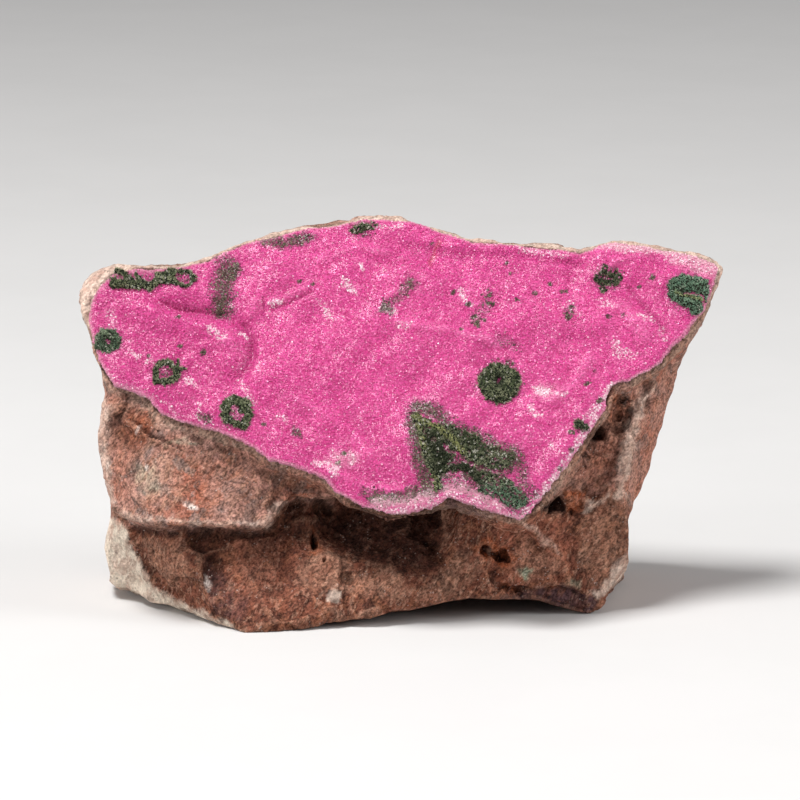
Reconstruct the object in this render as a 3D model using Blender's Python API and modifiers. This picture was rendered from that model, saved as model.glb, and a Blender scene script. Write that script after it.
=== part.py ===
# Cobaltoan calcite specimen: a broken block of red-brown dolomite that stands on its own base,
# with a crust of pink calcite on its leaning front face and growths of green malachite on the crust.
# Metres, +Z up, +X to the right of the crust's face, which looks towards -Y.
# Run with: blender --background --python part.py

import math

import bmesh
import bpy
from mathutils import Matrix, Vector, geometry, noise

MM = 0.001

# Driving dimensions
FACE_LEAN = math.radians(36)            # the crust's face leans back this far from upright
LIP = Vector((0, -31, 24)) * MM         # a point of that face at the height of its lowest tip
FOOT = Vector((0, -28.9, 0)) * MM       # where the front edge of the base stands
SIGHT_DROP = math.radians(12)           # front outlines are drawn as seen from this far above level
CRUST_THICKNESS = 1.8 * MM
GAP = 0.3 * MM                          # clearance between touching pieces
RIM_DEPTH = 1.5 * MM                    # the bare rim of the rock lies this far behind the crust's face
SELVAGE_DEPTH = 7.0 * MM                # back of the tan layer that carries the crust
BLOCK_DEPTH = 80 * MM
ROCK_CELL = 1.25 * MM                   # cell of the remesh that fuses the rock's blocks
ROCK_TRIANGLES = 6600
ROCK_GRAIN = [(17, 1.5), (7, 0.9), (3.2, 0.5)]      # size and height of the rock's unevenness, in mm
ROCK_SEED = Vector((3.7, 1.3, 8.1))
CRUST_CELL = 3.0
CRUST_SEED = Vector((5.2, 9.4, 2.6))
GROWTH_CELL = 1.15
GROWTH_EDGE = 0.35                      # thickness of a malachite growth at its edge

FACE_UP = Vector((0, math.sin(FACE_LEAN), math.cos(FACE_LEAN)))
FACE_OUT = Vector((0, -math.cos(FACE_LEAN), math.sin(FACE_LEAN)))
SIGHT_UP = Vector((0, math.sin(SIGHT_DROP), math.cos(SIGHT_DROP)))
SIGHT_OUT = Vector((0, -math.cos(SIGHT_DROP), math.sin(SIGHT_DROP)))

# The rock as seen from the front: millimetres right of the middle, and above the foot
ROCK_OUTLINE = [
    (-65, 65.5), (-64.5, 69), (-62, 72), (-56, 73.5), (-48, 73.4), (-39.5, 74.6), (-33.5, 76.4),
    (-25, 79.8), (-16.5, 81.7), (-11, 83), (-7.5, 84.3), (-2.5, 83.6), (6, 81.6), (14.5, 78.8),
    (26, 77.4), (31.5, 77), (37, 76.2), (40, 77.8), (44.5, 78.8), (54, 77.2), (64, 75), (65.4, 73),
    (64.7, 69.4), (63.3, 65.6), (60, 60.7), (57.2, 56.3), (55.4, 50.2), (54, 45.4), (52.6, 39.8),
    (51.5, 34), (49.4, 28), (47.3, 23.7), (46.4, 19.7), (47, 14), (45.4, 9.8), (42.3, 6.8),
    (38.2, 3.8), (36.5, 2.7), (34, 4), (29, 5.6), (23, 6.6), (16, 6.2), (10, 5.8), (4, 4.9),
    (-4, 3.4), (-12, 1.9), (-20, 0.4), (-26.5, -0.2), (-31, -0.3), (-37, 1), (-43, 3.2),
    (-50.5, 5.2), (-56.3, 7.8), (-59.2, 10.2), (-59.8, 15.4), (-59, 19.5), (-58.6, 24.5),
    (-59.4, 29.3), (-60.4, 33.3), (-60.8, 39), (-59.4, 43.8), (-58.4, 48.6), (-60.6, 53),
    (-62.3, 56), (-63.6, 60.7),
]
# The part of it that carries the crust
HEAD_OUTLINE = [
    (-65, 65.5), (-64.5, 69), (-62, 72), (-56, 73.5), (-48, 73.4), (-39.5, 74.6), (-33.5, 76.4),
    (-25, 79.8), (-16.5, 81.7), (-11, 83), (-7.5, 84.3), (-2.5, 83.6), (6, 81.6), (14.5, 78.8),
    (26, 77.4), (31.5, 77), (37, 76.2), (40, 77.8), (44.5, 78.8), (54, 77.2), (64, 75), (65.4, 73),
    (64.7, 69.4), (60.5, 65), (56, 60), (51, 55), (43.5, 53), (39, 43), (31, 33), (25, 26.5),
    (10, 29.5), (0, 27), (-12, 31), (-26, 38.5), (-44, 46), (-57, 51.5), (-61, 54), (-63.6, 60.7),
]
# The thick ledge under the left of the crust
LEDGE_OUTLINE = [
    (-60, 39), (-58.4, 48.6), (-46, 54), (-20, 46), (6, 34), (4, 24.3), (-2, 24), (-12, 25.1),
    (-20, 26.6), (-22.3, 25.8), (-24.7, 23.1), (-27.3, 21.1), (-33.6, 20.7), (-42.6, 20.7),
    (-49.6, 21.2), (-54.7, 22.3), (-58.2, 24.7), (-59, 29.5), (-60, 34.3),
]
# The shoulder under the right of the crust
SHOULDER_OUTLINE = [
    (9.5, 5.8), (10, 14), (10.5, 22), (12, 30), (24, 46), (40, 60), (62, 70), (63.3, 65.6),
    (60, 60.7), (57.2, 56.3), (55.4, 50.2), (54, 45.4), (52.6, 39.8), (51.5, 34), (49.4, 28),
    (47.3, 23.7), (46.4, 19.7), (47, 14), (45.4, 9.8), (38.2, 3.8), (36.5, 2.7), (34, 4),
    (29, 5.6), (23, 6.6), (16, 6.2),
]
# Where the right end is broken away behind the ridge that runs down from the crust
END_OUTLINE = [
    (59, 61), (75, 63), (75, 24), (46.8, 22), (44.3, 27), (44.2, 32), (46.6, 40.5), (49.5, 44.5),
    (53.5, 52.3),
]
# The hollow in the shade of the lip
HOLLOW_OUTLINE = [
    (-17, 20), (-14, 26), (-2, 29), (9, 29), (9.5, 21), (8.5, 14), (4, 10.5), (-4, 10), (-12, 12.5),
]
# The crust's edge on its face: millimetres right of the middle, and up the face from the lip
CRUST_OUTLINE = [
    (-58.2, 53.4), (-53, 54.5), (-43.5, 55), (-38.5, 56.2), (-34, 58.8), (-24, 61.7),
    (-14.5, 63.5), (-7.5, 65), (2.4, 64.8), (7.5, 63), (14.5, 60.3), (26.5, 59.2), (36, 57.8),
    (38.6, 58.3), (41, 59.7), (50.7, 58.5), (60.3, 56), (63.9, 55), (62.8, 50.6), (61.3, 45),
    (58.8, 42.3), (57, 39.4), (54.3, 36.5), (52.2, 33.7), (47.8, 31), (45.5, 29.4), (43.8, 30),
    (42.4, 28.8), (41, 26), (40.5, 23.2), (37.6, 18.6), (35.6, 15.6), (33.2, 11.7), (30.8, 8.7),
    (28.6, 5.5), (26, 2.5), (23.6, 0.2), (19.7, 1.4), (14.2, 3.3), (9.6, 4.9), (7.1, 3.4),
    (3.9, 2.1), (-0.4, 1.3), (-4.7, 2.2), (-9.4, 3.8), (-12.4, 6), (-14.2, 8.1), (-19, 10.6),
    (-23.7, 12), (-26.1, 13), (-28.5, 15.2), (-33.3, 17.8), (-38, 19.4), (-44, 21), (-46.8, 23),
    (-49.7, 25.8), (-52.5, 27.3), (-57.2, 28.8), (-59.8, 33.7), (-61.5, 39), (-62.4, 44.6),
    (-61.5, 49),
]
# Folds of the crust: the line of each, how far it reaches to either side, and its height
CRUST_FOLDS = [
    ([(-50, 46.5), (-45, 43.2), (-40, 42.6), (-35, 41), (-31.5, 39), (-32, 35)], 5.0, 0.75),
    ([(-50, 50), (-44, 47.3), (-38, 47), (-31, 45.5), (-27.5, 41), (-27.5, 35)], 3.2, -0.7),
    ([(-30, 43.5), (-28.6, 47)], 1.8, 0.5),
    ([(-25.7, 46.6), (-22, 48), (-18.4, 50.4)], 1.6, 0.6),
    ([(-56, 31), (-40, 26), (-24, 17)], 4.0, 0.35),
    ([(-22, 30), (-8, 40), (6, 52)], 6.0, 0.4),
    ([(-12, 16), (4, 30), (14, 44)], 5.0, -0.35),
    ([(10, 38), (24, 42), (40, 42)], 4.5, 0.45),
    ([(6, 56), (20, 54), (34, 52)], 4.5, -0.4),
    ([(42, 57), (52, 53), (60, 46)], 4.0, 0.35),
    ([(26, 6), (33, 15), (38, 26)], 3.0, 0.35),
]
# Malachite growths on the crust: outlines on its face, and any holes through them
GROWTHS = {
    "malachite_chain": (
        [(-57.6, 52), (-56.3, 53.6), (-54, 53.6), (-51.9, 53.7), (-50.5, 52.2), (-48.8, 53.8),
         (-46.2, 54.2), (-43.2, 53.9), (-41.2, 51.7), (-42.5, 50.1), (-44.8, 50.2), (-46.8, 49.8),
         (-49.1, 49.2), (-51.8, 49), (-53.5, 49.9), (-55.5, 49.7), (-57.5, 50.3)],
        [[(-55.7, 52.2), (-54.8, 52.7), (-54, 52), (-54.9, 51.4)],
         [(-44.2, 52), (-43.3, 52.8), (-42.5, 51.9), (-43.4, 51.2)]],
    ),
    "malachite_crest": (
        [(-10.2, 63.2), (-8.4, 63.9), (-5.9, 64.6), (-4.7, 64.2), (-5.2, 63), (-7.4, 62.2),
         (-9.7, 62.2)],
        [],
    ),
    "malachite_spray": (
        [(2.6, 21.9), (3.6, 22.9), (6.8, 21), (10.4, 20.3), (13.7, 17.8), (17.9, 16), (21.4, 13.8),
         (22.8, 11), (22.2, 7.6), (24.6, 5.2), (25.2, 3.8), (24, 2.4), (21.5, 2.4), (18.6, 3.9),
         (15.4, 5.6), (12.9, 7.6), (11.3, 9.6), (10, 9.4), (9.4, 7.4), (7.6, 5.6), (6.2, 6.9),
         (4.6, 10.4), (3.2, 15.3)],
        [],
    ),
    "malachite_patch_right": (
        [(53.9, 49.9), (55, 51.6), (57.3, 52.3), (59.7, 52), (61.4, 51), (61.7, 48.9),
         (60.5, 47.6), (59.6, 45.8), (59.3, 44), (58, 44), (56.2, 45.7), (54.2, 47)],
        [[(56.7, 49), (58.6, 49.1), (60.2, 48.2), (58.8, 48)]],
    ),
    "malachite_patch_upper": (
        [(38.8, 51.9), (40, 54.1), (42.2, 54.9), (44.2, 53.8), (44.6, 51.9), (42.8, 50.3),
         (41.3, 49), (39.8, 49.9)],
        [],
    ),
    "malachite_patch_low": (
        [(34.2, 19.8), (35.4, 20.8), (37, 20.2), (37.1, 19.3), (36, 18.4), (34.8, 18.5)],
        [],
    ),
}
# Round growths: centre on the face, radius across and up, and the same of the hole in the middle
RINGS = {
    "malachite_ring_left": ((-58.3, 38.4), (2.4, 2.5), (0.7, 0.7)),
    "malachite_ring_middle": ((-46.2, 31.4), (2.6, 2.7), (1.0, 0.9)),
    "malachite_ring_low": ((-32.2, 22.4), (3.0, 3.3), (1.0, 1.3)),
    "malachite_rosette": ((19.8, 29.1), (4.2, 4.4), (0.6, 0.6)),
}
# Hollows in the rock left by lost crystals: centre, then the radii across, deep and high
PITS = [
    ((-17.2, -18, 15.2), 0.9, 4, 2.3),
    ((18.6, -20, 13.8), 2.0, 4, 1.4),
    ((33, -19, 21.5), 2.4, 5, 2.2),
    ((37.5, -15, 36.5), 2.6, 6, 2.4),
    ((45, -8, 48), 2.4, 5, 2.2),
]


def face_point(across, up, out=0.0):
    """A point given in millimetres on the crust's face: across it, up it and out of it."""
    return LIP + (Vector((across, 0, 0)) + FACE_UP * up + FACE_OUT * out) * MM


def outward(yaw, lean):
    """The direction a fracture faces: turned from the front by yaw and tipped up by lean, in degrees."""
    yaw = math.radians(yaw)
    lean = math.radians(lean)
    level = Vector((math.sin(yaw), -math.cos(yaw), 0)) * math.cos(lean)
    return level + Vector((0, 0, math.sin(lean)))


BACK = [
    ((0, 28.8, 5), outward(180, 9)),
    ((-18, 28, 14), outward(-170, 5)),
    ((18, 25.4, 36), outward(169, 17)),
    ((-50, 24, 20), outward(-145, 4)),
    ((44, 25, 20), outward(147, 2)),
    ((0, 18.6, 74), outward(184, 48)),
]
MIDDLE = ((0, 12, 30), Vector((0, 1, 0)))


def clear_scene():
    for obj in list(bpy.data.objects):
        bpy.data.objects.remove(obj)


def make_material(name, colour, roughness):
    material = bpy.data.materials.new(name)
    material.use_nodes = True
    shader = material.node_tree.nodes["Principled BSDF"]
    shader.inputs["Base Color"].default_value = (*colour, 1)
    shader.inputs["Roughness"].default_value = roughness
    shader.inputs["Metallic"].default_value = 0
    material.diffuse_color = (*colour, 1)
    return material


def add_object(name, mesh):
    obj = bpy.data.objects.new(name, mesh)
    bpy.context.scene.collection.objects.link(obj)
    return obj


def evaluated_mesh(obj):
    bpy.context.view_layer.update()
    graph = bpy.context.evaluated_depsgraph_get()
    return bpy.data.meshes.new_from_object(obj.evaluated_get(graph))


def freeze(obj):
    """Makes the evaluated mesh the object's own and drops its modifiers."""
    mesh = evaluated_mesh(obj)
    obj.modifiers.clear()
    obj.data = mesh


def edit(obj, change):
    bm = bmesh.new()
    bm.from_mesh(obj.data)
    change(bm)
    bmesh.ops.recalc_face_normals(bm, faces=bm.faces)
    bm.to_mesh(obj.data)
    bm.free()


def combine(obj, other, operation):
    """Joins, cuts or trims obj with other by a Boolean, and removes other."""
    modifier = obj.modifiers.new(operation.title(), "BOOLEAN")
    modifier.operation = operation
    modifier.solver = "EXACT"
    modifier.object = other
    freeze(obj)
    bpy.data.objects.remove(other)


def prism(name, outline, origin, up, out, near, far):
    """A flat outline made solid along out, from near in front of the origin to far behind it."""
    curve = bpy.data.curves.new(name, "CURVE")
    curve.dimensions = "2D"
    curve.fill_mode = "BOTH"
    curve.extrude = (near + far) / 2
    spline = curve.splines.new("POLY")
    spline.points.add(len(outline) - 1)
    for point, (across, height) in zip(spline.points, outline):
        point.co = (across * MM, height * MM, 0, 1)
    spline.use_cyclic_u = True
    flat = add_object(name + "_outline", curve)
    place = Matrix((Vector((1, 0, 0)), up, out)).transposed().to_4x4()
    place.translation = origin + out * (near - far) / 2
    mesh = evaluated_mesh(flat)
    mesh.transform(place)
    bpy.data.objects.remove(flat)
    solid = add_object(name, mesh)
    edit(solid, lambda bm: bmesh.ops.remove_doubles(bm, verts=bm.verts, dist=0.01 * MM))
    return solid


def sight_prism(name, outline):
    return prism(name, outline, FOOT, SIGHT_UP, SIGHT_OUT, BLOCK_DEPTH / 4, BLOCK_DEPTH)


def face_prism(name, outline, near, far):
    return prism(name, outline, LIP, FACE_UP, FACE_OUT, near, far)


def face_fracture(depth):
    """The plane that lies so far behind the crust's face."""
    return (face_point(0, 0, -depth / MM) / MM, FACE_OUT)


def break_off(obj, fractures):
    """Breaks off what lies beyond each fracture, given as a point in millimetres and a direction."""
    def change(bm):
        for point, normal in fractures:
            parts = list(bm.verts) + list(bm.edges) + list(bm.faces)
            cut = bmesh.ops.bisect_plane(
                bm, geom=parts, plane_co=Vector(point) * MM, plane_no=normal, clear_outer=True
            )
            rim = [e for e in cut["geom_cut"] if isinstance(e, bmesh.types.BMEdge)]
            bmesh.ops.holes_fill(bm, edges=rim, sides=0)
            bmesh.ops.triangulate(bm, faces=[f for f in bm.faces if len(f.verts) > 4])

    edit(obj, change)


def make_body():
    """The body of the rock, whose front slopes up and back from the foot."""
    body = sight_prism("matrix", ROCK_OUTLINE)
    break_off(body, [
        ((-26, -28.6, 0), outward(2, 31)),
        ((10, -20, 5), outward(13, 0)),
        ((-50, -17, 20), Vector((-0.70, -0.66, -0.27)).normalized()),
        *BACK,
    ])
    return body


def make_head():
    head = sight_prism("head", HEAD_OUTLINE)
    break_off(head, [face_fracture(RIM_DEPTH), *BACK])
    return head


def make_ledge():
    ledge = sight_prism("ledge", LEDGE_OUTLINE)
    break_off(ledge, [
        face_fracture(RIM_DEPTH * 2),
        ((-40, -25, 21.5), outward(4, 26)),
        ((-50, -21.5, 26), outward(-38, 12)),
        MIDDLE,
    ])
    return ledge


def make_shoulder():
    shoulder = sight_prism("shoulder", SHOULDER_OUTLINE)
    break_off(shoulder, [
        face_fracture(SELVAGE_DEPTH),
        ((12, -20.5, 10), outward(14, -2)),
        ((30, -17.5, 26), outward(12, 20)),
        MIDDLE,
    ])
    return shoulder


def make_end_cut():
    cut = sight_prism("end_cut", END_OUTLINE)
    break_off(cut, [((45.5, -13, 34), Vector((-0.80, 0.59, 0.08)).normalized())])
    return cut


def make_hollow_cut():
    cut = sight_prism("hollow_cut", HOLLOW_OUTLINE)
    break_off(cut, [((0, -22.5, 10), outward(180, -44))])
    return cut


def make_pit_cut(centre, across, deep, high):
    bpy.ops.mesh.primitive_ico_sphere_add(subdivisions=2, radius=1)
    cutter = bpy.context.object
    size = Matrix.Diagonal((across * MM, deep * MM, high * MM, 1))
    cutter.data.transform(Matrix.Translation(Vector(centre) * MM) @ size)
    return cutter


def grown(outline, by):
    """An outline drawn clockwise, pushed outwards by so many millimetres."""
    moved = []
    for i, (x, y) in enumerate(outline):
        before = outline[i - 1]
        after = outline[(i + 1) % len(outline)]
        along = Vector((after[0] - before[0], after[1] - before[1])).normalized()
        moved.append((x - along.y * by, y + along.x * by))
    return moved


def fuse(obj, cell):
    """One skin over the joined blocks, in cells small enough for the noise that follows."""
    modifier = obj.modifiers.new("Fuse", "REMESH")
    modifier.mode = "VOXEL"
    modifier.voxel_size = cell
    freeze(obj)


def roughen(obj, grains, seed):
    """Moves each point along its normal by layers of noise, each a size and a height in millimetres."""
    normals = [v.normal.copy() for v in obj.data.vertices]
    for vertex, normal in zip(obj.data.vertices, normals):
        shift = 0.0
        for size, height in grains:
            shift += noise.noise(vertex.co / (size * MM) + seed) * height
        vertex.co += normal * shift * MM
    obj.data.update()


def thin_out(obj, triangles):
    obj.data.calc_loop_triangles()
    modifier = obj.modifiers.new("Thin", "DECIMATE")
    modifier.ratio = triangles / len(obj.data.loop_triangles)
    modifier.use_collapse_triangulate = True
    freeze(obj)


def cut_block(block):
    """Breaks the right end, the shaded hollow and the pits out of a block of the rock."""
    combine(block, make_end_cut(), "DIFFERENCE")
    combine(block, make_hollow_cut(), "DIFFERENCE")
    for pit in PITS:
        combine(block, make_pit_cut(*pit), "DIFFERENCE")


def gather(obj, others):
    """Adds the closed meshes of others to obj, for fuse to make one skin of them, and removes others."""
    def change(bm):
        for other in others:
            bm.from_mesh(other.data)

    edit(obj, change)
    for other in others:
        bpy.data.objects.remove(other)


def make_matrix():
    bed_depth = CRUST_THICKNESS + GAP
    blocks = [make_body(), make_head(), make_ledge(), make_shoulder()]
    for block in blocks:
        cut_block(block)
    rock = blocks[0]
    selvage = face_prism("selvage", grown(CRUST_OUTLINE, 0.7), -bed_depth, SELVAGE_DEPTH)
    gather(rock, [*blocks[1:], selvage])
    fuse(rock, ROCK_CELL)
    roughen(rock, ROCK_GRAIN, ROCK_SEED)
    thin_out(rock, ROCK_TRIANGLES)
    break_off(rock, [((0, 0, 0), Vector((0, 0, -1)))])
    bed = face_prism("bed", grown(CRUST_OUTLINE, GAP / MM), 8 * MM, bed_depth)
    combine(rock, bed, "DIFFERENCE")
    return rock


def as_vectors(line):
    return [Vector(point) for point in line]


def distance_to(line, place, closed=False):
    """How far a place lies from a line of points, or from a closed outline."""
    ends = line[1:] + line[:1] if closed else line[1:]
    nearest = []
    for start, end in zip(line, ends):
        found, along = geometry.intersect_point_line(place, start, end)
        if along < 0:
            found = start
        if along > 1:
            found = end
        nearest.append((place - found.to_2d()).length)
    return min(nearest)


def is_inside(outline, place):
    inside = False
    for (x1, y1), (x2, y2) in zip(outline, outline[1:] + outline[:1]):
        if (y1 > place.y) != (y2 > place.y):
            if place.x < x1 + (place.y - y1) * (x2 - x1) / (y2 - y1):
                inside = not inside
    return inside


CRUST_EDGE = as_vectors(CRUST_OUTLINE)
FOLD_LINES = [as_vectors(line) for line, _, _ in CRUST_FOLDS]


def crust_height(across, up):
    """How far the crust's surface stands out of its face at a place on it, in millimetres."""
    place = Vector((across, up))
    height = noise.noise(Vector((across / 19, up / 13, 0)) + CRUST_SEED) * 0.8
    height += noise.noise(Vector(((across - up) / 6, (across + up) / 15, 0)) + CRUST_SEED) * 0.4
    for line, (_, reach, lift) in zip(FOLD_LINES, CRUST_FOLDS):
        height += lift * math.exp(-2 * (distance_to(line, place) / reach) ** 2)
    return height - 0.7 * math.exp(-distance_to(CRUST_EDGE, place, closed=True))


def flat_mesh(outline, holes, cell):
    """Points and triangles over an outline with holes, with a grid of points inside if cell isn't 0."""
    rims = [as_vectors(line) for line in (outline, *holes)]
    points = []
    edges = []
    for rim in rims:
        first = len(points)
        points += rim
        edges += [(first + i, first + (i + 1) % len(rim)) for i in range(len(rim))]

    def is_covered(place):
        return is_inside(outline, place) and not any(is_inside(hole, place) for hole in holes)

    low = Vector((min(x for x, _ in outline), min(y for _, y in outline)))
    high = Vector((max(x for x, _ in outline), max(y for _, y in outline)))
    rows = int((high.y - low.y) / cell / 0.87) + 1 if cell else 0
    for row in range(rows):
        for column in range(int((high.x - low.x) / cell) + 2):
            place = low + Vector((column + row % 2 / 2, row * 0.87)) * cell
            clear = min(distance_to(rim, place, closed=True) for rim in rims)
            if clear > cell * 0.45 and is_covered(place):
                points.append(place)
    found, _, faces, *_ = geometry.delaunay_2d_cdt(points, edges, [], 0, 1e-5, False)
    middles = [sum((found[i] for i in face), Vector((0, 0))) / 3 for face in faces]
    return found, [face for face, middle in zip(faces, middles) if is_covered(middle)]


def sheet(name, outline, holes, top, bottom, cell, bottom_cell):
    """A solid that covers an outline on the crust's face, between two functions of the place."""
    bm = bmesh.new()
    rim_verts = []
    for height, size in ((top, cell), (bottom, bottom_cell)):
        places, faces = flat_mesh(outline, holes, size)
        verts = [bm.verts.new(face_point(x, y, height(x, y))) for x, y in places]
        for face in faces:
            bm.faces.new([verts[i] for i in face])
        rim_verts.append({(round(x, 3), round(y, 3)): vert for vert, (x, y) in zip(verts, places)})
    upper, lower = rim_verts
    for rim in (outline, *holes):
        keys = [(round(x, 3), round(y, 3)) for x, y in rim]
        for a, b in zip(keys, keys[1:] + keys[:1]):
            bm.faces.new([upper[a], upper[b], lower[b], lower[a]])
    bmesh.ops.recalc_face_normals(bm, faces=bm.faces)
    mesh = bpy.data.meshes.new(name)
    bm.to_mesh(mesh)
    bm.free()
    return add_object(name, mesh)


def make_crust():
    def back(across, up):
        return -CRUST_THICKNESS / MM

    return sheet("calcite_crust", CRUST_OUTLINE, [], crust_height, back, CRUST_CELL, 0)


def make_growth(name, outline, holes, height):
    """A malachite growth: it follows the crust and is thickest away from its edges."""
    rims = [as_vectors(line) for line in (outline, *holes)]

    def bottom(across, up):
        return crust_height(across, up) + GAP / MM

    def top(across, up):
        edge = min(distance_to(rim, Vector((across, up)), closed=True) for rim in rims)
        return bottom(across, up) + GROWTH_EDGE + height * (1 - math.exp(-edge / 0.8))

    return sheet(name, outline, holes, top, bottom, GROWTH_CELL, GROWTH_CELL)


def wavering_ring(centre, radii, corners, waver, seed):
    points = []
    for i in range(corners):
        angle = -2 * math.pi * i / corners
        direction = Vector((math.cos(angle), math.sin(angle), seed))
        size = 1 + waver * noise.noise(direction * 1.7)
        points.append((
            centre[0] + radii[0] * size * direction.x,
            centre[1] + radii[1] * size * direction.y,
        ))
    return points


def make_growths():
    growths = []
    for name, (outline, holes) in GROWTHS.items():
        growths.append(make_growth(name, outline, holes, 0.9))
    for seed, (name, (centre, radii, hole_radii)) in enumerate(RINGS.items()):
        rim = wavering_ring(centre, radii, 18, 0.14, seed)
        hole = wavering_ring(centre, hole_radii, 7, 0.2, seed + 9)
        growths.append(make_growth(name, rim, [hole], 1.1))
    return growths


def main():
    clear_scene()
    specimen = bpy.data.collections.new("cobaltoan_calcite_specimen")
    bpy.context.scene.collection.children.link(specimen)
    dolomite = make_material("dolomite", (0.30, 0.15, 0.10), 0.85)
    calcite = make_material("cobaltoan_calcite", (0.71, 0.10, 0.31), 0.35)
    malachite = make_material("malachite", (0.03, 0.11, 0.05), 0.6)
    pieces = [(make_matrix(), dolomite), (make_crust(), calcite)]
    pieces += [(growth, malachite) for growth in make_growths()]
    for piece, material in pieces:
        piece.data.materials.clear()
        piece.data.materials.append(material)
        bpy.context.scene.collection.objects.unlink(piece)
        specimen.objects.link(piece)


main()
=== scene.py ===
import math

import bmesh
import bpy
import numpy as np
from mathutils import Matrix, Vector, noise


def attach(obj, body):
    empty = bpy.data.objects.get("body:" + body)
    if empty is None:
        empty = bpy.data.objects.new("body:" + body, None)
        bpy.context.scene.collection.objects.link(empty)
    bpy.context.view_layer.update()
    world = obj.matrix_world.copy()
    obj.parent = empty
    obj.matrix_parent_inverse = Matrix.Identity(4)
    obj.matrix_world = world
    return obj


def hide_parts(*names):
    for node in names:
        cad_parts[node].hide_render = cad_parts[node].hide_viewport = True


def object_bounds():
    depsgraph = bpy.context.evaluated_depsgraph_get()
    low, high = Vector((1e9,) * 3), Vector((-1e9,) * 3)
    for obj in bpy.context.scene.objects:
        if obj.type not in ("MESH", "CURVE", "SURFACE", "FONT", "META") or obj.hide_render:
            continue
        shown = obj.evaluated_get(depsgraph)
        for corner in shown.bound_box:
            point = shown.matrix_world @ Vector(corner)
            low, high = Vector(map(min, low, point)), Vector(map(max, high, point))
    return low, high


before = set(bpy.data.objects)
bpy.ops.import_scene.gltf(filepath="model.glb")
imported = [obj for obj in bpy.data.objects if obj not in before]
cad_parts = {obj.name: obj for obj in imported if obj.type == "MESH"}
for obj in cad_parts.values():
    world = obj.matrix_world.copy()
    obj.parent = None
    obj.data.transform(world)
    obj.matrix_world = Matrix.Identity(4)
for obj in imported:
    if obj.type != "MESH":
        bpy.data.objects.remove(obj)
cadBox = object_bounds()
mm = 0.001
scene = bpy.context.scene

# the face that carries the crust: how far it leans back, and a point of it at its lowest tip
face = {"lean": 36, "lip": (0, -31, 24)}
camera = {"aim": (0, 0, 41.1), "away": 1000, "drop": 12, "lens": 222.9, "sensor": 36}

lean = math.radians(face["lean"])
drop = math.radians(camera["drop"])
lip = np.array(face["lip"], float)
faceUp = np.array([0, math.sin(lean), math.cos(lean)])
faceOut = np.array([0, -math.cos(lean), math.sin(lean)])
sightUp = np.array([0, math.sin(drop), math.cos(drop)])
sightOut = np.array([0, -math.cos(drop), math.sin(drop)])
aim = np.array(camera["aim"], float)


def facePlaces(points):
    # millimetres across and up the crust's face, and out of it
    off = points / mm - lip
    return np.stack([off[:, 0], off @ faceUp], 1), off @ faceOut


def facePoints(places, out):
    x = np.zeros((len(places), 3))
    x[:, 0] = places[:, 0]
    return (lip + x + np.outer(places[:, 1], faceUp) + np.outer(out, faceOut)) * mm


def seenPlaces(points):
    # millimetres right of the camera's aim and above it, as the camera sees them
    off = points / mm - aim
    nearer = camera["away"] / (camera["away"] - off @ sightOut)
    return np.stack([off[:, 0], off @ sightUp], 1) * nearer[:, None]


def nearestOn(line, places, closed=False):
    # the nearest point of a line to each place, and how far off it is
    starts = np.array(line, float)
    ends = np.roll(starts, -1, 0)
    if not closed:
        starts, ends = starts[:-1], ends[:-1]
    best = np.full(len(places), 1e9)
    nearest = np.zeros_like(places)
    for a, b in zip(starts, ends):
        share = np.clip((places - a) @ (b - a) / max((b - a) @ (b - a), 1e-9), 0, 1)
        found = a + share[:, None] * (b - a)
        gap = np.hypot(*(places - found).T)
        closer = gap < best
        best[closer] = gap[closer]
        nearest[closer] = found[closer]
    return nearest, best


def distanceTo(line, places, closed=False):
    if len(line) == 1:
        return np.hypot(*(places - np.array(line[0], float)).T)
    return nearestOn(line, places, closed)[1]


def isInside(outline, places):
    corners = np.array(outline, float)
    inside = np.zeros(len(places), bool)
    for a, b in zip(corners, np.roll(corners, -1, 0)):
        spans = (a[1] > places[:, 1]) != (b[1] > places[:, 1])
        run = (b[0] - a[0]) / (b[1] - a[1]) if b[1] != a[1] else 0
        inside ^= spans & (places[:, 0] < a[0] + (places[:, 1] - a[1]) * run)
    return inside


def depthIn(outline, places):
    # how far inside an outline each place is, negative outside it
    side = np.where(isInside(outline, places), 1, -1)
    return side * distanceTo(outline, places, closed=True)


def ramp(values, low, high):
    # smoothly from 0 at low to 1 at high
    share = np.clip((values - low) / (high - low), 0, 1)
    return share * share * (3 - 2 * share)


def linesAt(lines, places, outer=1.2, inner=0.2, core=0.0):
    # the strength of painted lines at each place: full near a line and nothing past its reach
    total = np.zeros(len(places))
    for line, reach, strength in lines:
        away = distanceTo(line, places)
        total = np.maximum(total, strength * ramp(away, reach * outer, reach * inner + core))
    return total


def noiseAt(points, size, seed):
    # smooth noise from -1 to 1 in lumps of about that size, for points in millimetres
    shift = Vector((seed * 1.7, seed * 3.1, seed * 0.9))
    return np.array([noise.noise(Vector(p) / size + shift) for p in points])


def flat3(places):
    return np.column_stack([places, np.zeros(len(places))])


def strayed(places, strays):
    # places pushed about by noise, so that what is measured from them gets a ragged edge
    spread = flat3(places)
    moved = places.copy()
    for size, reach, seed in strays:
        moved += reach * np.stack([noiseAt(spread, size, seed), noiseAt(spread, size, seed + 1)], 1)
    return moved


# mesh helpers

def addPiece(name, mesh):
    piece = bpy.data.objects.new(name, mesh)
    scene.collection.objects.link(piece)
    return piece


# points and faces are sorted along a slanted line, to so many decimals of a millimetre
ordering = {"slant": (1, 37.1, 101.3), "decimals": 5}


def putInOrder(bm):
    # the operators can leave another order each time, and what is scattered later follows it
    slant = Vector(ordering["slant"])

    def along(point):
        return round(point.dot(slant) / mm, ordering["decimals"])

    bm.verts.sort(key=lambda vert: along(vert.co))
    bm.edges.sort(key=lambda edge: along(edge.verts[0].co + edge.verts[1].co))
    bm.faces.sort(key=lambda side: along(side.calc_center_median()))


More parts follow.
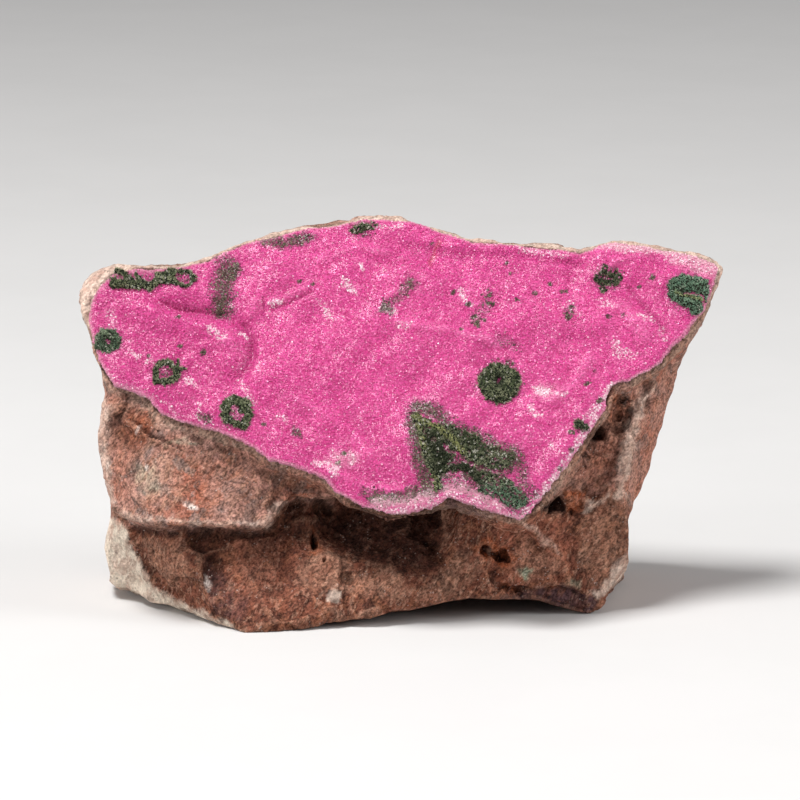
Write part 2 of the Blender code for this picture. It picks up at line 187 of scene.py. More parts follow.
def pieceFrom(name, bm):
    mesh = bpy.data.meshes.new(name)
    bm.to_mesh(mesh)
    bm.free()
    return addPiece(name, mesh)


def copyOfNode(node, name):
    bm = bmesh.new()
    bm.from_mesh(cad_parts[node].data)
    bmesh.ops.remove_doubles(bm, verts=bm.verts, dist=0.005 * mm)
    return pieceFrom(name, bm)


def settle(piece):
    # what the modifiers make becomes the piece's own mesh
    bpy.context.view_layer.update()
    graph = bpy.context.evaluated_depsgraph_get()
    made = bpy.data.meshes.new_from_object(piece.evaluated_get(graph), depsgraph=graph)
    piece.modifiers.clear()
    piece.data = made
    piece.data.name = piece.name


def pointsOf(mesh):
    points = np.zeros(len(mesh.vertices) * 3, np.float32)
    mesh.vertices.foreach_get("co", points)
    return points.reshape(-1, 3).astype(float)


def movePoints(mesh, points):
    mesh.vertices.foreach_set("co", points.astype(np.float32).ravel())
    mesh.update()


def normalsOf(mesh):
    normals = np.zeros(len(mesh.vertices) * 3, np.float32)
    mesh.vertices.foreach_get("normal", normals)
    return normals.reshape(-1, 3).astype(float)


def evenedOut(mesh, points, rounds):
    # each point moved to the middle of its neighbours, over and over
    ends = np.zeros(len(mesh.edges) * 2, np.int64)
    mesh.edges.foreach_get("vertices", ends)
    a, b = ends.reshape(-1, 2).T
    count = np.bincount(a, minlength=len(points)) + np.bincount(b, minlength=len(points))
    for _ in range(rounds):
        total = np.zeros_like(points)
        for axis in range(3):
            total[:, axis] = np.bincount(a, points[b, axis], len(points))
            total[:, axis] += np.bincount(b, points[a, axis], len(points))
        points = 0.5 * points + 0.5 * total / np.maximum(count, 1)[:, None]
    return points


def reliefOf(mesh, rounds=14):
    # how far each point stands out of the surface around it, in millimetres
    points = pointsOf(mesh)
    off = points - evenedOut(mesh, points, rounds)
    return np.einsum("ij,ij->i", off, normalsOf(mesh)) / mm


def mark(mesh, name, values):
    layer = mesh.attributes.get(name) or mesh.attributes.new(name, "FLOAT", "POINT")
    layer.data.foreach_set("value", np.asarray(values, np.float32))


def markVector(mesh, name, vectors):
    layer = mesh.attributes.get(name) or mesh.attributes.new(name, "FLOAT_VECTOR", "POINT")
    layer.data.foreach_set("vector", np.asarray(vectors, np.float32).ravel())


def keepInBox(points, spare=0.03):
    low, high = np.array(cadBox[0]) + spare * mm, np.array(cadBox[1]) - spare * mm
    low[2] = 0
    return np.clip(points, low, high)


def shade(piece, smooth):
    for polygon in piece.data.polygons:
        polygon.use_smooth = smooth


def wear(piece, material):
    piece.data.materials.clear()
    piece.data.materials.append(material)


# node helpers, for shaders and geometry alike

def addNode(tree, kind, **settings):
    node = tree.nodes.new(kind)
    for name, value in settings.items():
        setattr(node, name, value)
    return node


def put(tree, socket, value):
    if isinstance(value, bpy.types.NodeSocket):
        tree.links.new(value, socket)
    else:
        socket.default_value = value


def calc(tree, operation, *values, clamp=False):
    node = addNode(tree, "ShaderNodeMath", operation=operation, use_clamp=clamp)
    for socket, value in zip(node.inputs, values):
        put(tree, socket, value)
    return node.outputs[0]


def vectorCalc(tree, operation, *values, **named):
    node = addNode(tree, "ShaderNodeVectorMath", operation=operation)
    for socket, value in zip(node.inputs, values):
        put(tree, socket, value)
    for name, value in named.items():
        put(tree, node.inputs[name], value)
    return node.outputs[1 if operation in ("DOT_PRODUCT", "LENGTH", "DISTANCE") else 0]


def stretched(tree, place, turn, longer):
    # the place turned about the depth axis, then drawn out upwards
    turned = addNode(tree, "ShaderNodeVectorRotate", rotation_type="Y_AXIS")
    put(tree, turned.inputs["Vector"], place)
    turned.inputs["Angle"].default_value = math.radians(turn)
    return vectorCalc(tree, "MULTIPLY", turned.outputs[0], (1, 1, 1 / longer))


def blend(tree, factor, a, b, mode="MIX"):
    node = addNode(tree, "ShaderNodeMix", data_type="RGBA", blend_type=mode)
    put(tree, node.inputs[0], factor)
    put(tree, node.inputs[6], a if isinstance(a, bpy.types.NodeSocket) else (*a, 1))
    put(tree, node.inputs[7], b if isinstance(b, bpy.types.NodeSocket) else (*b, 1))
    return node.outputs[2]


def rescale(tree, value, low, high, newLow=0.0, newHigh=1.0):
    node = addNode(tree, "ShaderNodeMapRange", interpolation_type="SMOOTHSTEP")
    for socket, given in zip(node.inputs, (value, low, high, newLow, newHigh)):
        put(tree, socket, given)
    return node.outputs[0]


def useGroup(tree, group, output, **values):
    node = addNode(tree, "ShaderNodeGroup", node_tree=group)
    for name, value in values.items():
        put(tree, node.inputs[name], value)
    return node.outputs[output]


def newGroup(name, inputs, outputs):
    group = bpy.data.node_groups.new(name, "ShaderNodeTree")
    for label, kind, value in inputs:
        socket = group.interface.new_socket(label, in_out="INPUT", socket_type="NodeSocket" + kind)
        if value is not None:
            socket.default_value = value
    for label, kind in outputs:
        group.interface.new_socket(label, in_out="OUTPUT", socket_type="NodeSocket" + kind)
    return group, addNode(group, "NodeGroupInput"), addNode(group, "NodeGroupOutput")


def patternPlace(group, start):
    # the place in units of the pattern's size, moved by the seed
    perSize = calc(group, "DIVIDE", 1000.0, start.outputs["Size"])
    place = vectorCalc(group, "SCALE", start.outputs["Place"], Scale=perSize)
    return vectorCalc(group, "ADD", place, start.outputs["Seed"])


patternInputs = [("Place", "Vector", None), ("Size", "Float", 5.0), ("Seed", "Vector", None)]


def makeMottle():
    # soft clouds: a mask from 0 to 1, sharper with less Spread
    group, start, end = newGroup(
        "mottle", [*patternInputs, ("Middle", "Float", 0.5), ("Spread", "Float", 0.3)],
        [("Mask", "Float")],
    )
    clouds = addNode(group, "ShaderNodeTexNoise")
    put(group, clouds.inputs["Vector"], patternPlace(group, start))
    clouds.inputs["Scale"].default_value = 1
    clouds.inputs["Detail"].default_value = 4
    clouds.inputs["Roughness"].default_value = 0.6
    half = calc(group, "MULTIPLY", start.outputs["Spread"], 0.5)
    low = calc(group, "SUBTRACT", start.outputs["Middle"], half)
    high = calc(group, "ADD", start.outputs["Middle"], half)
    put(group, end.inputs["Mask"], rescale(group, clouds.outputs[0], low, high))
    return group


def makeFlecks():
    # separate small flecks in a share of the pattern's cells
    group, start, end = newGroup(
        "flecks", [*patternInputs, ("Share", "Float", 0.1), ("Radius", "Float", 0.4)],
        [("Mask", "Float")],
    )
    place = patternPlace(group, start)
    wobble = addNode(group, "ShaderNodeTexNoise")
    put(group, wobble.inputs["Vector"], place)
    wobble.inputs["Scale"].default_value = 2.3
    off = vectorCalc(group, "SUBTRACT", wobble.outputs["Color"], (0.5, 0.5, 0.5))
    off = vectorCalc(group, "SCALE", off, Scale=0.9)
    cells = addNode(group, "ShaderNodeTexVoronoi")
    put(group, cells.inputs["Vector"], vectorCalc(group, "ADD", place, off))
    cells.inputs["Scale"].default_value = 1
    chance = addNode(group, "ShaderNodeSeparateColor")
    put(group, chance.inputs[0], cells.outputs["Color"])
    chosen = calc(group, "LESS_THAN", chance.outputs[0], start.outputs["Share"])
    inner = calc(group, "MULTIPLY", start.outputs["Radius"], 0.5)
    spot = rescale(group, cells.outputs["Distance"], inner, start.outputs["Radius"], 1.0, 0.0)
    put(group, end.inputs["Mask"], calc(group, "MULTIPLY", spot, chosen))
    return group


def makeSugar():
    # a height for the sugary grain of small crystals
    group, start, end = newGroup("sugar", patternInputs, [("Height", "Float")])
    place = patternPlace(group, start)
    cells = addNode(group, "ShaderNodeTexVoronoi")
    put(group, cells.inputs["Vector"], place)
    cells.inputs["Scale"].default_value = 1
    tilt = vectorCalc(group, "SUBTRACT", cells.outputs["Color"], (0.5, 0.5, 0.5))
    away = vectorCalc(group, "SUBTRACT", place, cells.outputs["Position"])
    slope = vectorCalc(group, "DOT_PRODUCT", tilt, away)
    grit = addNode(group, "ShaderNodeTexNoise")
    put(group, grit.inputs["Vector"], place)
    grit.inputs["Scale"].default_value = 0.45
    grit.inputs["Detail"].default_value = 3
    height = calc(group, "ADD", calc(group, "MULTIPLY", slope, 1.2), grit.outputs[0])
    put(group, end.inputs["Height"], height)
    return group


def makeGranular():
    # crystals chosen one by one: more of them the higher the Share, picked by their own Tone
    group, start, end = newGroup(
        "granular", [("Share", "Float", 0.0), ("Tone", "Float", 0.5), ("Turn", "Float", 7.3)],
        [("Mask", "Float")],
    )
    turned = calc(group, "MULTIPLY", start.outputs["Tone"], start.outputs["Turn"])
    pick = calc(group, "FRACT", turned)
    level = calc(group, "SUBTRACT", 1.0, start.outputs["Share"])
    low = calc(group, "SUBTRACT", level, 0.03)
    high = calc(group, "ADD", level, 0.05)
    chosen = rescale(group, pick, low, high)
    put(group, end.inputs["Mask"], calc(
        group, "MULTIPLY", chosen, calc(group, "GREATER_THAN", start.outputs["Share"], 0.02)))
    return group


mottle = makeMottle()
flecks = makeFlecks()
sugar = makeSugar()
granular = makeGranular()


def newShaping(name):
    # Geometry Nodes that take a mesh in and give one out
    tree = bpy.data.node_groups.new(name, "GeometryNodeTree")
    for way in ("INPUT", "OUTPUT"):
        tree.interface.new_socket("Geometry", in_out=way, socket_type="NodeSocketGeometry")
    return tree, addNode(tree, "NodeGroupInput"), addNode(tree, "NodeGroupOutput")


def named(tree, name, kind="FLOAT"):
    node = addNode(tree, "GeometryNodeInputNamedAttribute", data_type=kind)
    node.inputs["Name"].default_value = name
    return node.outputs["Attribute"]


def newMaterial(name):
    material = bpy.data.materials.new(name)
    material.use_nodes = True
    tree = material.node_tree
    place = addNode(tree, "ShaderNodeTexCoord").outputs["Object"]
    return material, tree, tree.nodes["Principled BSDF"], place


def marked(tree, name):
    return addNode(tree, "ShaderNodeAttribute", attribute_name=name).outputs["Fac"]


def bumped(tree, shader, height, depth, strength=1.0):
    bump = addNode(tree, "ShaderNodeBump")
    bump.inputs["Strength"].default_value = strength
    bump.inputs["Distance"].default_value = depth * mm
    put(tree, bump.inputs["Height"], height)
    put(tree, shader.inputs["Normal"], bump.outputs[0])


def part(tree, value, share):
    return calc(tree, "MULTIPLY", value, share)


def greyOf(tree, value):
    node = addNode(tree, "ShaderNodeCombineColor")
    for socket in node.inputs:
        put(tree, socket, value)
    return node.outputs[0]


def cloudMask(tree, place, size, seed, middle=0.5, spread=0.3):
    return useGroup(
        tree, mottle, "Mask", Place=place, Size=size, Seed=(seed, seed * 2.3, seed * 0.7),
        Middle=middle, Spread=spread,
    )


def fleckMask(tree, place, size, seed, share, radius):
    return useGroup(
        tree, flecks, "Mask", Place=place, Size=size, Seed=(seed, seed * 1.9, seed * 0.6),
        Share=share, Radius=radius,
    )


rockColours = {
    "brick": (0.320, 0.112, 0.072), "pink": (0.365, 0.196, 0.156), "grey": (0.215, 0.138, 0.118),
    "umber": (0.152, 0.047, 0.026), "bark": (0.060, 0.019, 0.011), "ochre": (0.240, 0.092, 0.049),
    "tan": (0.380, 0.208, 0.142), "cream": (0.800, 0.635, 0.530), "wine": (0.085, 0.042, 0.044),
    "night": (0.022, 0.008, 0.006), "verdigris": (0.270, 0.340, 0.240),
    "rust": (0.262, 0.066, 0.024), "selvage": (0.290, 0.188, 0.142),
    "poreAndShade": (0.020, 0.008, 0.005), "quartz": (0.720, 0.610, 0.550),
}
# ways that the grain of the stone runs: turn in degrees, and how long it is drawn
rockWays = {"steep": (-24, 3.2), "slanted": (-42, 2.6), "grains": (-42, 1.6)}
# clouds of colour on the rock, then on its darker body: the way they run, size, seed, middle,
# spread, share and colour
rockClouds = [
    ("steep", 1.5, 3.0, 0.56, 0.16, 0.5, "tan"), ("slanted", 2.2, 4.0, 0.6, 0.14, 0.5, "ochre"),
]
bodyClouds = [
    ("even", 2.2, 6.5, 0.55, 0.12, 0.75, "ochre"), ("steep", 1.1, 7.0, 0.59, 0.1, 0.6, "tan"),
]


def makeRockMaterial():
    material, tree, shader, place = newMaterial("brokenDolomite")
    c = rockColours
    ways = {name: stretched(tree, place, *turn) for name, turn in rockWays.items()}
    ways["even"] = place

    def clouded(colour, clouds):
        for way, size, seed, middle, spread, share, name in clouds:
            mask = part(tree, cloudMask(tree, ways[way], size, seed, middle, spread), share)
            colour = blend(tree, mask, colour, c[name])
        return colour

    colour = blend(tree, cloudMask(tree, place, 8, 1.0, 0.53, 0.18), c["pink"], c["brick"])
    colour = blend(tree, cloudMask(tree, place, 4, 2.0, 0.54, 0.12), colour, c["grey"])
    colour = clouded(colour, rockClouds)
    patchy = part(tree, cloudMask(tree, ways["steep"], 1.6, 5.0, 0.5, 0.22), 0.6)
    patchy = calc(tree, "ADD", patchy, 0.5)
    # the darker brown of the body, partly its own colour and partly painted shade where less light
    # reaches it, has its own clouds
    dusky = cloudMask(tree, ways["slanted"], 3.0, 6.0, 0.48, 0.14)
    bodyBrownAndShade = clouded(blend(tree, dusky, c["bark"], c["umber"]), bodyClouds)
    colour = blend(tree, marked(tree, "umber"), colour, bodyBrownAndShade)
    for name in ("brick", "tan", "selvage", "cream", "wine", "rust", "verdigris", "quartz"):
        share = calc(tree, "MULTIPLY", marked(tree, name), patchy, clamp=True)
        colour = blend(tree, share, colour, c[name])
    # painted shade: near black in the recess under the lip, under the ledge's edge, in the gully and
    # inside the pits
    colour = blend(tree, marked(tree, "night"), colour, c["night"])
    # painted highlight on the bumps and painted shade in the hollows, by how far each point stands
    # out
    relief = marked(tree, "relief")
    colour = blend(tree, rescale(tree, relief, 0.03, 0.25, 0.0, 0.22), colour, c["tan"])
    colour = blend(tree, rescale(tree, relief, -0.04, -0.32, 0.0, 0.5), colour, c["poreAndShade"])
    # fine grain of light and dark crystals, softer where the stone is pale
    grain = part(tree, cloudMask(tree, ways["grains"], 0.4, 8.0, 0.5, 0.2), 0.74)
    grain = calc(tree, "ADD", grain, part(tree, cloudMask(tree, place, 1.0, 8.5, 0.5, 0.22), 0.46))
    grain = calc(tree, "ADD", grain, 0.41)
    colour = blend(
        tree, rescale(tree, marked(tree, "cream"), 0.1, 0.8, 1.0, 0.4), colour,
        blend(tree, 1.0, colour, greyOf(tree, grain), mode="MULTIPLY"))
    where = cloudMask(tree, place, 3, 9.5, 0.6, 0.2)
    sparkle = calc(tree, "MULTIPLY", fleckMask(tree, place, 0.5, 9.0, 0.3, 0.42), where)
    colour = blend(tree, part(tree, sparkle, 0.5), colour, c["quartz"])
    dark = part(tree, fleckMask(tree, place, 0.7, 10.0, 0.14, 0.44), 0.4)
    colour = blend(tree, dark, colour, c["poreAndShade"])
    put(tree, shader.inputs["Base Color"], colour)
    glint = fleckMask(tree, place, 0.6, 11.0, 0.14, 0.5)
    put(tree, shader.inputs["Roughness"], rescale(tree, glint, 0, 1, 0.88, 0.4))
    shader.inputs["Specular IOR Level"].default_value = 0.12
    fine = useGroup(tree, sugar, "Height", Place=ways["grains"], Size=0.45, Seed=(3, 1, 4))
    coarse = useGroup(tree, sugar, "Height", Place=ways["steep"], Size=1.1, Seed=(5, 9, 2))
    bumped(tree, shader, calc(tree, "ADD", fine, calc(tree, "MULTIPLY", coarse, 1.4)), 0.3)
    return material


druseColours = {
    "pink": (0.700, 0.074, 0.306), "deep": (0.500, 0.030, 0.192), "light": (0.850, 0.235, 0.485),
    "white": (0.900, 0.760, 0.790), "rim": (0.760, 0.480, 0.530), "lilac": (0.400, 0.270, 0.270),
    "moss": (0.030, 0.028, 0.015), "sage": (0.170, 0.165, 0.100), "vein": (0.470, 0.060, 0.060),
    "stain": (0.130, 0.022, 0.040),
}


def makeDruseMaterial():
    material, tree, shader, place = newMaterial("cobaltoanCalcite")
    c = druseColours
    tone = marked(tree, "tone")
    tip = marked(tree, "tip")
    fold = marked(tree, "fold")
    colour = blend(tree, cloudMask(tree, place, 9, 11, 0.5, 0.4), c["deep"], c["pink"])
    colour = blend(tree, 0.45, colour, c["pink"])
    lighter = part(tree, cloudMask(tree, place, 2.6, 12, 0.6, 0.3), 0.3)
    colour = blend(tree, lighter, colour, c["light"])
    # painted shade in the hollows of the folds and towards the crust's lower tip and its left,
    # painted highlight on the fold crests
    colour = blend(tree, rescale(tree, fold, -0.05, -0.6, 0.0, 0.7), colour, c["deep"])
    colour = blend(tree, rescale(tree, fold, 0.1, 0.7, 0.0, 0.3), colour, c["light"])
    colour = blend(tree, rescale(tree, tone, 0.0, 0.45, 0.6, 0.0), colour, c["deep"])
    colour = blend(tree, rescale(tree, tone, 0.70, 1.0, 0.0, 0.55), colour, c["light"])
    colour = blend(tree, part(tree, tip, 0.15), colour, c["light"])
    # a few crystals painted white: painted glints
    colour = blend(tree, rescale(tree, tone, 0.978, 0.985, 0.0, 0.4), colour, c["white"])
    white = useGroup(tree, granular, "Mask", Share=marked(tree, "frost"), Tone=tone, Turn=7.3)
    colour = blend(tree, part(tree, white, 0.8), colour, c["white"])
    shaded = calc(tree, "FRACT", calc(tree, "MULTIPLY", tone, 5.1))
    green = blend(tree, rescale(tree, shaded, 0.45, 0.95), c["moss"], c["sage"])
    # a stain tints all of its crystals a little and some of them fully
    stain = marked(tree, "verdigris")
    colour = blend(tree, part(tree, stain, 0.7), colour, c["stain"])
    stained = useGroup(tree, granular, "Mask", Share=stain, Tone=tone, Turn=13.7)
    colour = blend(tree, part(tree, stained, 0.85), colour, green)
    for name in ("vein", "rim", "lilac"):
        colour = blend(tree, marked(tree, name), colour, c[name])
    put(tree, shader.inputs["Base Color"], colour)
    shader.inputs["Roughness"].default_value = 0.32
    shader.inputs["Coat Weight"].default_value = 0.12
    shader.inputs["Coat Roughness"].default_value = 0.12
    height = useGroup(tree, sugar, "Height", Place=place, Size=0.3, Seed=(2, 7, 1))
    bumped(tree, shader, height, 0.12)
    return material


malachiteColours = {
    "dark": (0.010, 0.014, 0.006), "green": (0.160, 0.205, 0.100), "light": (0.580, 0.600, 0.370),
    "yellow": (0.660, 0.670, 0.290), "blue": (0.310, 0.570, 0.410), "pale": (0.560, 0.540, 0.460),
}


def makeMalachiteMaterial():
    material, tree, shader, place = newMaterial("fibrousMalachite")
    c = malachiteColours
    tone = marked(tree, "tone")
    tip = marked(tree, "tip")
    clouds = cloudMask(tree, place, 1.6, 4, 0.56, 0.22)
    green = blend(tree, clouds, c["green"], c["light"])
    green = blend(tree, rescale(tree, tone, 0.4, 1.0, 0.0, 0.8), green, c["light"])
    green = blend(tree, part(tree, marked(tree, "blue"), 0.8), green, c["blue"])
    green = blend(tree, marked(tree, "yellow"), green, c["yellow"])
    # needles near black at their feet and green to their tips: painted shade between the needles
    colour = blend(tree, rescale(tree, tip, 0.15, 0.8, 0.0, 1.0), c["dark"], green)
    # darker where marked deep: the dark green of the growths' cores, and painted shade in their
    # hollows
    colour = blend(tree, part(tree, marked(tree, "deep"), 0.75), colour, c["dark"])
    faint = useGroup(tree, granular, "Mask", Share=marked(tree, "pale"), Tone=tone, Turn=9.1)
    colour = blend(tree, faint, colour, c["pale"])
    put(tree, shader.inputs["Base Color"], colour)
    shader.inputs["Roughness"].default_value = 0.7
    shader.inputs["Specular IOR Level"].default_value = 0.2
    return material


brokenDolomite = makeRockMaterial()
cobaltoanCalcite = makeDruseMaterial()
fibrousMalachite = makeMalachiteMaterial()
print("materials made")


# the rock

# the crust's edge on its face: millimetres right of the middle, and up the face from the lip
crustOutline = [
    (-57.6, 53), (-53, 54.2), (-49.8, 54), (-43.5, 54.8), (-38.4, 56.1), (-33.9, 58.7), (-30.7, 60),
    (-24, 61.8), (-20.9, 63.1), (-17.8, 63.6), (-14.5, 63.7), (-7.5, 65.1), (-4.2, 65.5), (2.4, 64.9),
    (5, 64.2), (7.5, 63), (14.5, 60.3), (18.5, 59.8), (22.5, 59.8), (26.5, 59.1), (32.9, 58.6),
    (36, 57.8), (38.4, 58.5), (40.3, 59.6), (43.3, 60.2), (46.3, 59.8), (49.4, 59.3), (52.4, 58.6),
    (55.4, 58.2), (58.4, 57.4), (61.4, 56.4), (63.6, 55.6), (63.8, 54.2), (63.1, 52.2),
    (62.4, 50.6), (60.9, 45.4), (58.5, 42.6), (56.6, 39.8), (53.8, 37),
    (51.9, 34.1), (49.8, 32.6), (47.5, 31.6), (45.3, 30), (43.8, 30), (42, 29.1), (40.7, 26),
    (40.3, 23.2), (37.4, 18.8), (35.2, 15.9), (34.1, 13.8), (33, 11.9), (30.7, 8.8), (28.4, 5.7),
    (26, 2.6), (23.6, 0.3), (19.7, 1.4), (14.2, 3.3), (9.6, 4.9), (7.1, 3.4), (3.9, 2.1),
    (-0.4, 1.3), (-4.7, 2.2), (-9.2, 4.1), (-12.4, 6), (-14.1, 8.2), (-16.5, 9.8), (-19, 10.8),
    (-23.6, 12.3), (-26.1, 13), (-28.4, 15.3), (-30.9, 16.7), (-33.3, 17.9), (-35.6, 19),
    (-38, 19.7), (-41, 20.5), (-43.8, 21.4), (-47, 22.8), (-49.6, 25.9), (-52.4, 27.5),
    (-54.8, 28.2), (-57, 29.1), (-58.2, 31.4), (-59.5, 33.8), (-60.4, 36.4), (-61.2, 39),
    (-61.8, 41.8), (-62.1, 44.6), (-61.6, 46.7), (-60.9, 48.8), (-59.4, 50.9),
]

rock = {
    "cell": 0.43, "soften": 3, "triangles": 192000, "sparing": 2e-6,
    # size of the broken facets and how far they stand out, then the same for lumps and streaks
    "chips": [(15, 1.0), (6.4, 0.32), (2.0, 0.12)], "lumps": [(6, 0.45), (1.1, 0.2)],
    "streaks": [(3.2, 0.3), (1.5, 0.26)], "crumbs": (1.4, 0.55), "bedDepth": 2.05,
    # the turn in degrees of the streaks that run through the stone, and how long they are drawn
    "grainTurn": (-24, 4),
    # how far under the crust's surface the rock meets its edge, and how steeply it falls away
    "rimTop": (0.15, 0.3), "rimSide": (0.95, 0.6),
    # how far up the face its top side starts, and the most that the arch is lifted
    "topSide": (44, 50), "archMost": 4.2,
    # how strongly the thinning works on the back, and on what is hidden
    "thinBack": 0.35, "thinHidden": 1.0,
    # how the shapes that are pressed in, raised or painted stray: size, reach and seed
    "roughStrays": [(3.1, 0.6, 1), (1.2, 0.3, 2)], "fineStrays": [(1.6, 0.35, 3), (0.7, 0.3, 5)],
    "paintStrays": [(2.6, 1.1, 5), (0.9, 0.5, 7)], "edgeStrays": [(2.0, 0.3, 16)],
    # the groove under the crumbly layer, and the calmer stone near the ground
    "groove": 0.22, "footHeight": 0.6, "footCalm": 0.25,
}
# how wide the crumbly layer under the crust's lower edge shows: place across, width
selvageBand = [
    (-66, 1.2), (-52, 1.5), (-49.5, 2.8), (-45, 2.2), (-38, 2.2), (-31, 1.5), (-27, 0.8),
    (-12, 0.6), (4, 1.2), (8, 2.8), (11, 3.0), (16, 2.2), (21, 1.4), (25, 0.8), (30, 1.6), (66, 1.3),
]
# the stone's outline as the camera sees it, above its feet
rockOutline = [
    (-58.8, -40), (-58.6, -35.1), (-59.6, -30.3), (-59.4, -27.9), (-58.4, -23), (-58.6, -20.6),
    (-60, -15.7), (-61, -8.5), (-60.6, -3.6), (-60.2, -1.2), (-59.6, 1.2), (-60.4, 6.1),
    (-62.6, 10.9), (-64, 15.7), (-65.2, 20.6), (-64.4, 23), (-62.6, 25.4), (-60.6, 26.4),
    (-57.3, 27.7), (-54.1, 27.3), (-50.9, 27.2), (-47.6, 27.9), (-44.4, 28.1), (-41.2, 28.5),
    (-38, 29.7), (-34.7, 30.7), (-31.5, 31.8), (-28.3, 32.8), (-25, 34), (-21.8, 34.6),
    (-18.6, 35.4), (-15.3, 35.6), (-12.1, 36.4), (-8.9, 37.4), (-5.7, 37.9), (-2.4, 37.2),
    (0.8, 36.9), (4, 36.1), (7.3, 34.9), (10.5, 33.8), (13.7, 32.6), (17, 32.5), (20.2, 31.9),
    (23.4, 31.7), (29.9, 31.7), (33.1, 31.3), (36.3, 30.7), (39.6, 31), (42.8, 32.3), (46, 32.1),
    (49.3, 31.5), (55.7, 30.5), (59, 29.9), (62.2, 29.1), (65.2, 28), (65.1, 25.4), (64.2, 23),
    (63.6, 20.6), (62.8, 18.2), (61.4, 15.7), (59.8, 13.3), (58.1, 10.9), (57.1, 8.5), (56.1, 6.1),
    (55.5, 3.6), (54.9, 1.2), (53.9, -1.2), (53.1, -3.6), (51.9, -8.5), (50.9, -10.9),
    (50.5, -13.3), (49.7, -15.7), (48.5, -18.2), (47.2, -20.6), (46.4, -23), (46, -25.4),
    (46, -30.3), (46.2, -32.7), (45.4, -35), (45, -40),
]

# the lower edge that the camera sees: the stone stands on a foot at each side
rockFeet = [
    (-60, -34), (-58.5, -35.3), (-54.5, -38), (-50.5, -40.6), (-46.4, -41.6), (-42.4, -43),
    (-38.4, -44.6), (-34.3, -46), (-30, -47.6), (-18, -46.6), (-14, -45.4), (-10, -44.4),
    (-6, -44), (-2, -42.8), (2, -42.4), (6, -41.6), (10, -40.6), (14, -40), (18, -40.2),
    (26, -40.2), (30, -41.2), (34, -42.2), (38, -43.2), (40.2, -42.8), (44, -38), (46, -34),
]

# hollows as the camera sees them: middle, half width, half height and depth
rockPits = [
    ((-17.4, -28.3), 0.6, 1.9, 2.4), ((-15.3, -32.1), 0.45, 0.45, 1.0),
    ((17.0, -30.4), 0.8, 1.1, 2.2),
    ((18.8, -31.2), 0.7, 0.6, 1.4), ((20.6, -31.4), 1.0, 0.7, 1.9), ((21.6, -32.2), 0.6, 0.5, 1.2),
    ((20.8, -38.4), 1.2, 0.6, 1.0), ((-10.7, -35.5), 0.9, 0.6, 0.9), ((18.8, -38.6), 0.6, 0.4, 0.8),
    ((31.9, -21.0), 1.5, 1.6, 3.6), ((30.0, -22.2), 1.0, 0.8, 2.0), ((39.8, -7.0), 1.7, 1.5, 2.0),
    ((34.6, -22.4), 0.5, 0.8, 1.2),
    ((-49.1, -6.1), 0.6, 0.4, 0.7), ((-46.8, -7.7), 0.5, 0.5, 0.7),
    ((-50.1, -30.7), 0.5, 0.6, 0.6), ((-49.7, -34.3), 0.5, 0.4, 0.6), ((42.6, 3.4), 0.7, 0.7, 0.9),
    ((41.4, 0.6), 0.5, 0.9, 0.9), ((44.4, -3.4), 0.5, 0.7, 0.6), ((38.2, -11.6), 0.6, 0.5, 0.6),
]
# the same for longer shapes: outline, softness of its edge, depth
rockHollows = [
    ([(-42.8, -25.8), (-36.1, -26.2), (-35.5, -32.3), (-35.1, -38.0), (-39.4, -38.8),
      (-41.6, -35.1), (-43.0, -30.3)], 5.0, 0.9),
    ([(-16.6, -21.2), (8.1, -21.2), (8.3, -26.2), (7.5, -34.7), (2.0, -34.7), (-2.0, -31.9),
      (-9.1, -29.3), (-14.1, -27.3)], 4.0, 0.7),
    ([(23, -38.8), (29.3, -37.8), (33.5, -37.6), (37.6, -39.4), (37.4, -45), (22, -45)], 1.0, 1.2),
    ([(38.4, -6.5), (42.8, -3.0), (47.0, -0.5), (46.2, -5.0), (44.4, -11.1), (42.6, -15.7),
      (38.4, -19.0), (33.2, -18.6), (34.7, -13.7)], 2.6, 1.2),
    ([(-54.4, -26.0), (-45, -26.2), (-34, -27.0), (-27.5, -27.0), (-24.4, -23.4), (-21.8, -20.4),
      (-14.5, -21.2), (-14, -23.0), (-20.5, -23.4), (-25, -27.6), (-45, -27.6), (-53.5, -27.4)],
     1.2, 0.7),
    ([(-57.6, -1.6), (-52.2, -3.4), (-51.2, -8.4), (-55.2, -9.4), (-58.2, -5)], 2.5, 0.4),
]
# faces that broke smoother than the rest: outline, softness, share of the roughness taken off
rockSmooth = [
    ([(53, 8), (49.5, -0.4), (47.6, -8.1), (46.4, -14.1), (45.6, -24), (50, -24), (62, 10)],
     2.0, 0.65),
    ([(-61.5, -22.4), (-56.5, -24.6), (-54.7, -26.9), (-53.3, -31.5), (-51.7, -35.5), (-48.9, -38.6),
      (-43.4, -41.4), (-37.4, -44.4), (-31.7, -47.2), (-37.3, -50), (-62.6, -46)], 1.5, 0.5),
    ([(22, -20), (44, -18), (46, -26), (42, -34), (33, -30), (28, -26)], 4.0, 0.4),
    ([(-33, -28), (-19, -28), (-17, -34), (-22, -42), (-31, -44)], 4.0, 0.4),
    ([(-56, -12), (-40, -12), (-30, -16), (-30, -22), (-56, -22)], 4.0, 0.35),
]
# the same for faces that crumbled: outline, softness, share of the crumbs' height
rockRough = [
    ([(34.7, -14.2), (38.8, -7.2), (42.0, -0.8), (44.6, 1.8), (48.2, 2.0), (46.0, -6), (44.4, -14),
      (44.6, -20), (38.4, -21.4), (31, -20)], 2.0, 0.75),
    ([(18, -24.5), (36, -23), (45, -20), (46, -30), (41, -38), (30, -37), (16, -37)], 3.0, 0.5),
    ([(-22, -30), (-4, -35), (14, -30), (16, -39), (-2, -42), (-22, -41)], 3.0, 0.4),
    ([(-57, -3), (-36, -10), (-20, -18), (-26, -22), (-40, -23), (-56, -22)], 3.0, 0.35),
    ([(-53, -28), (-36, -28), (-30, -36), (-34, -44), (-48, -38)], 3.0, 0.4),
]
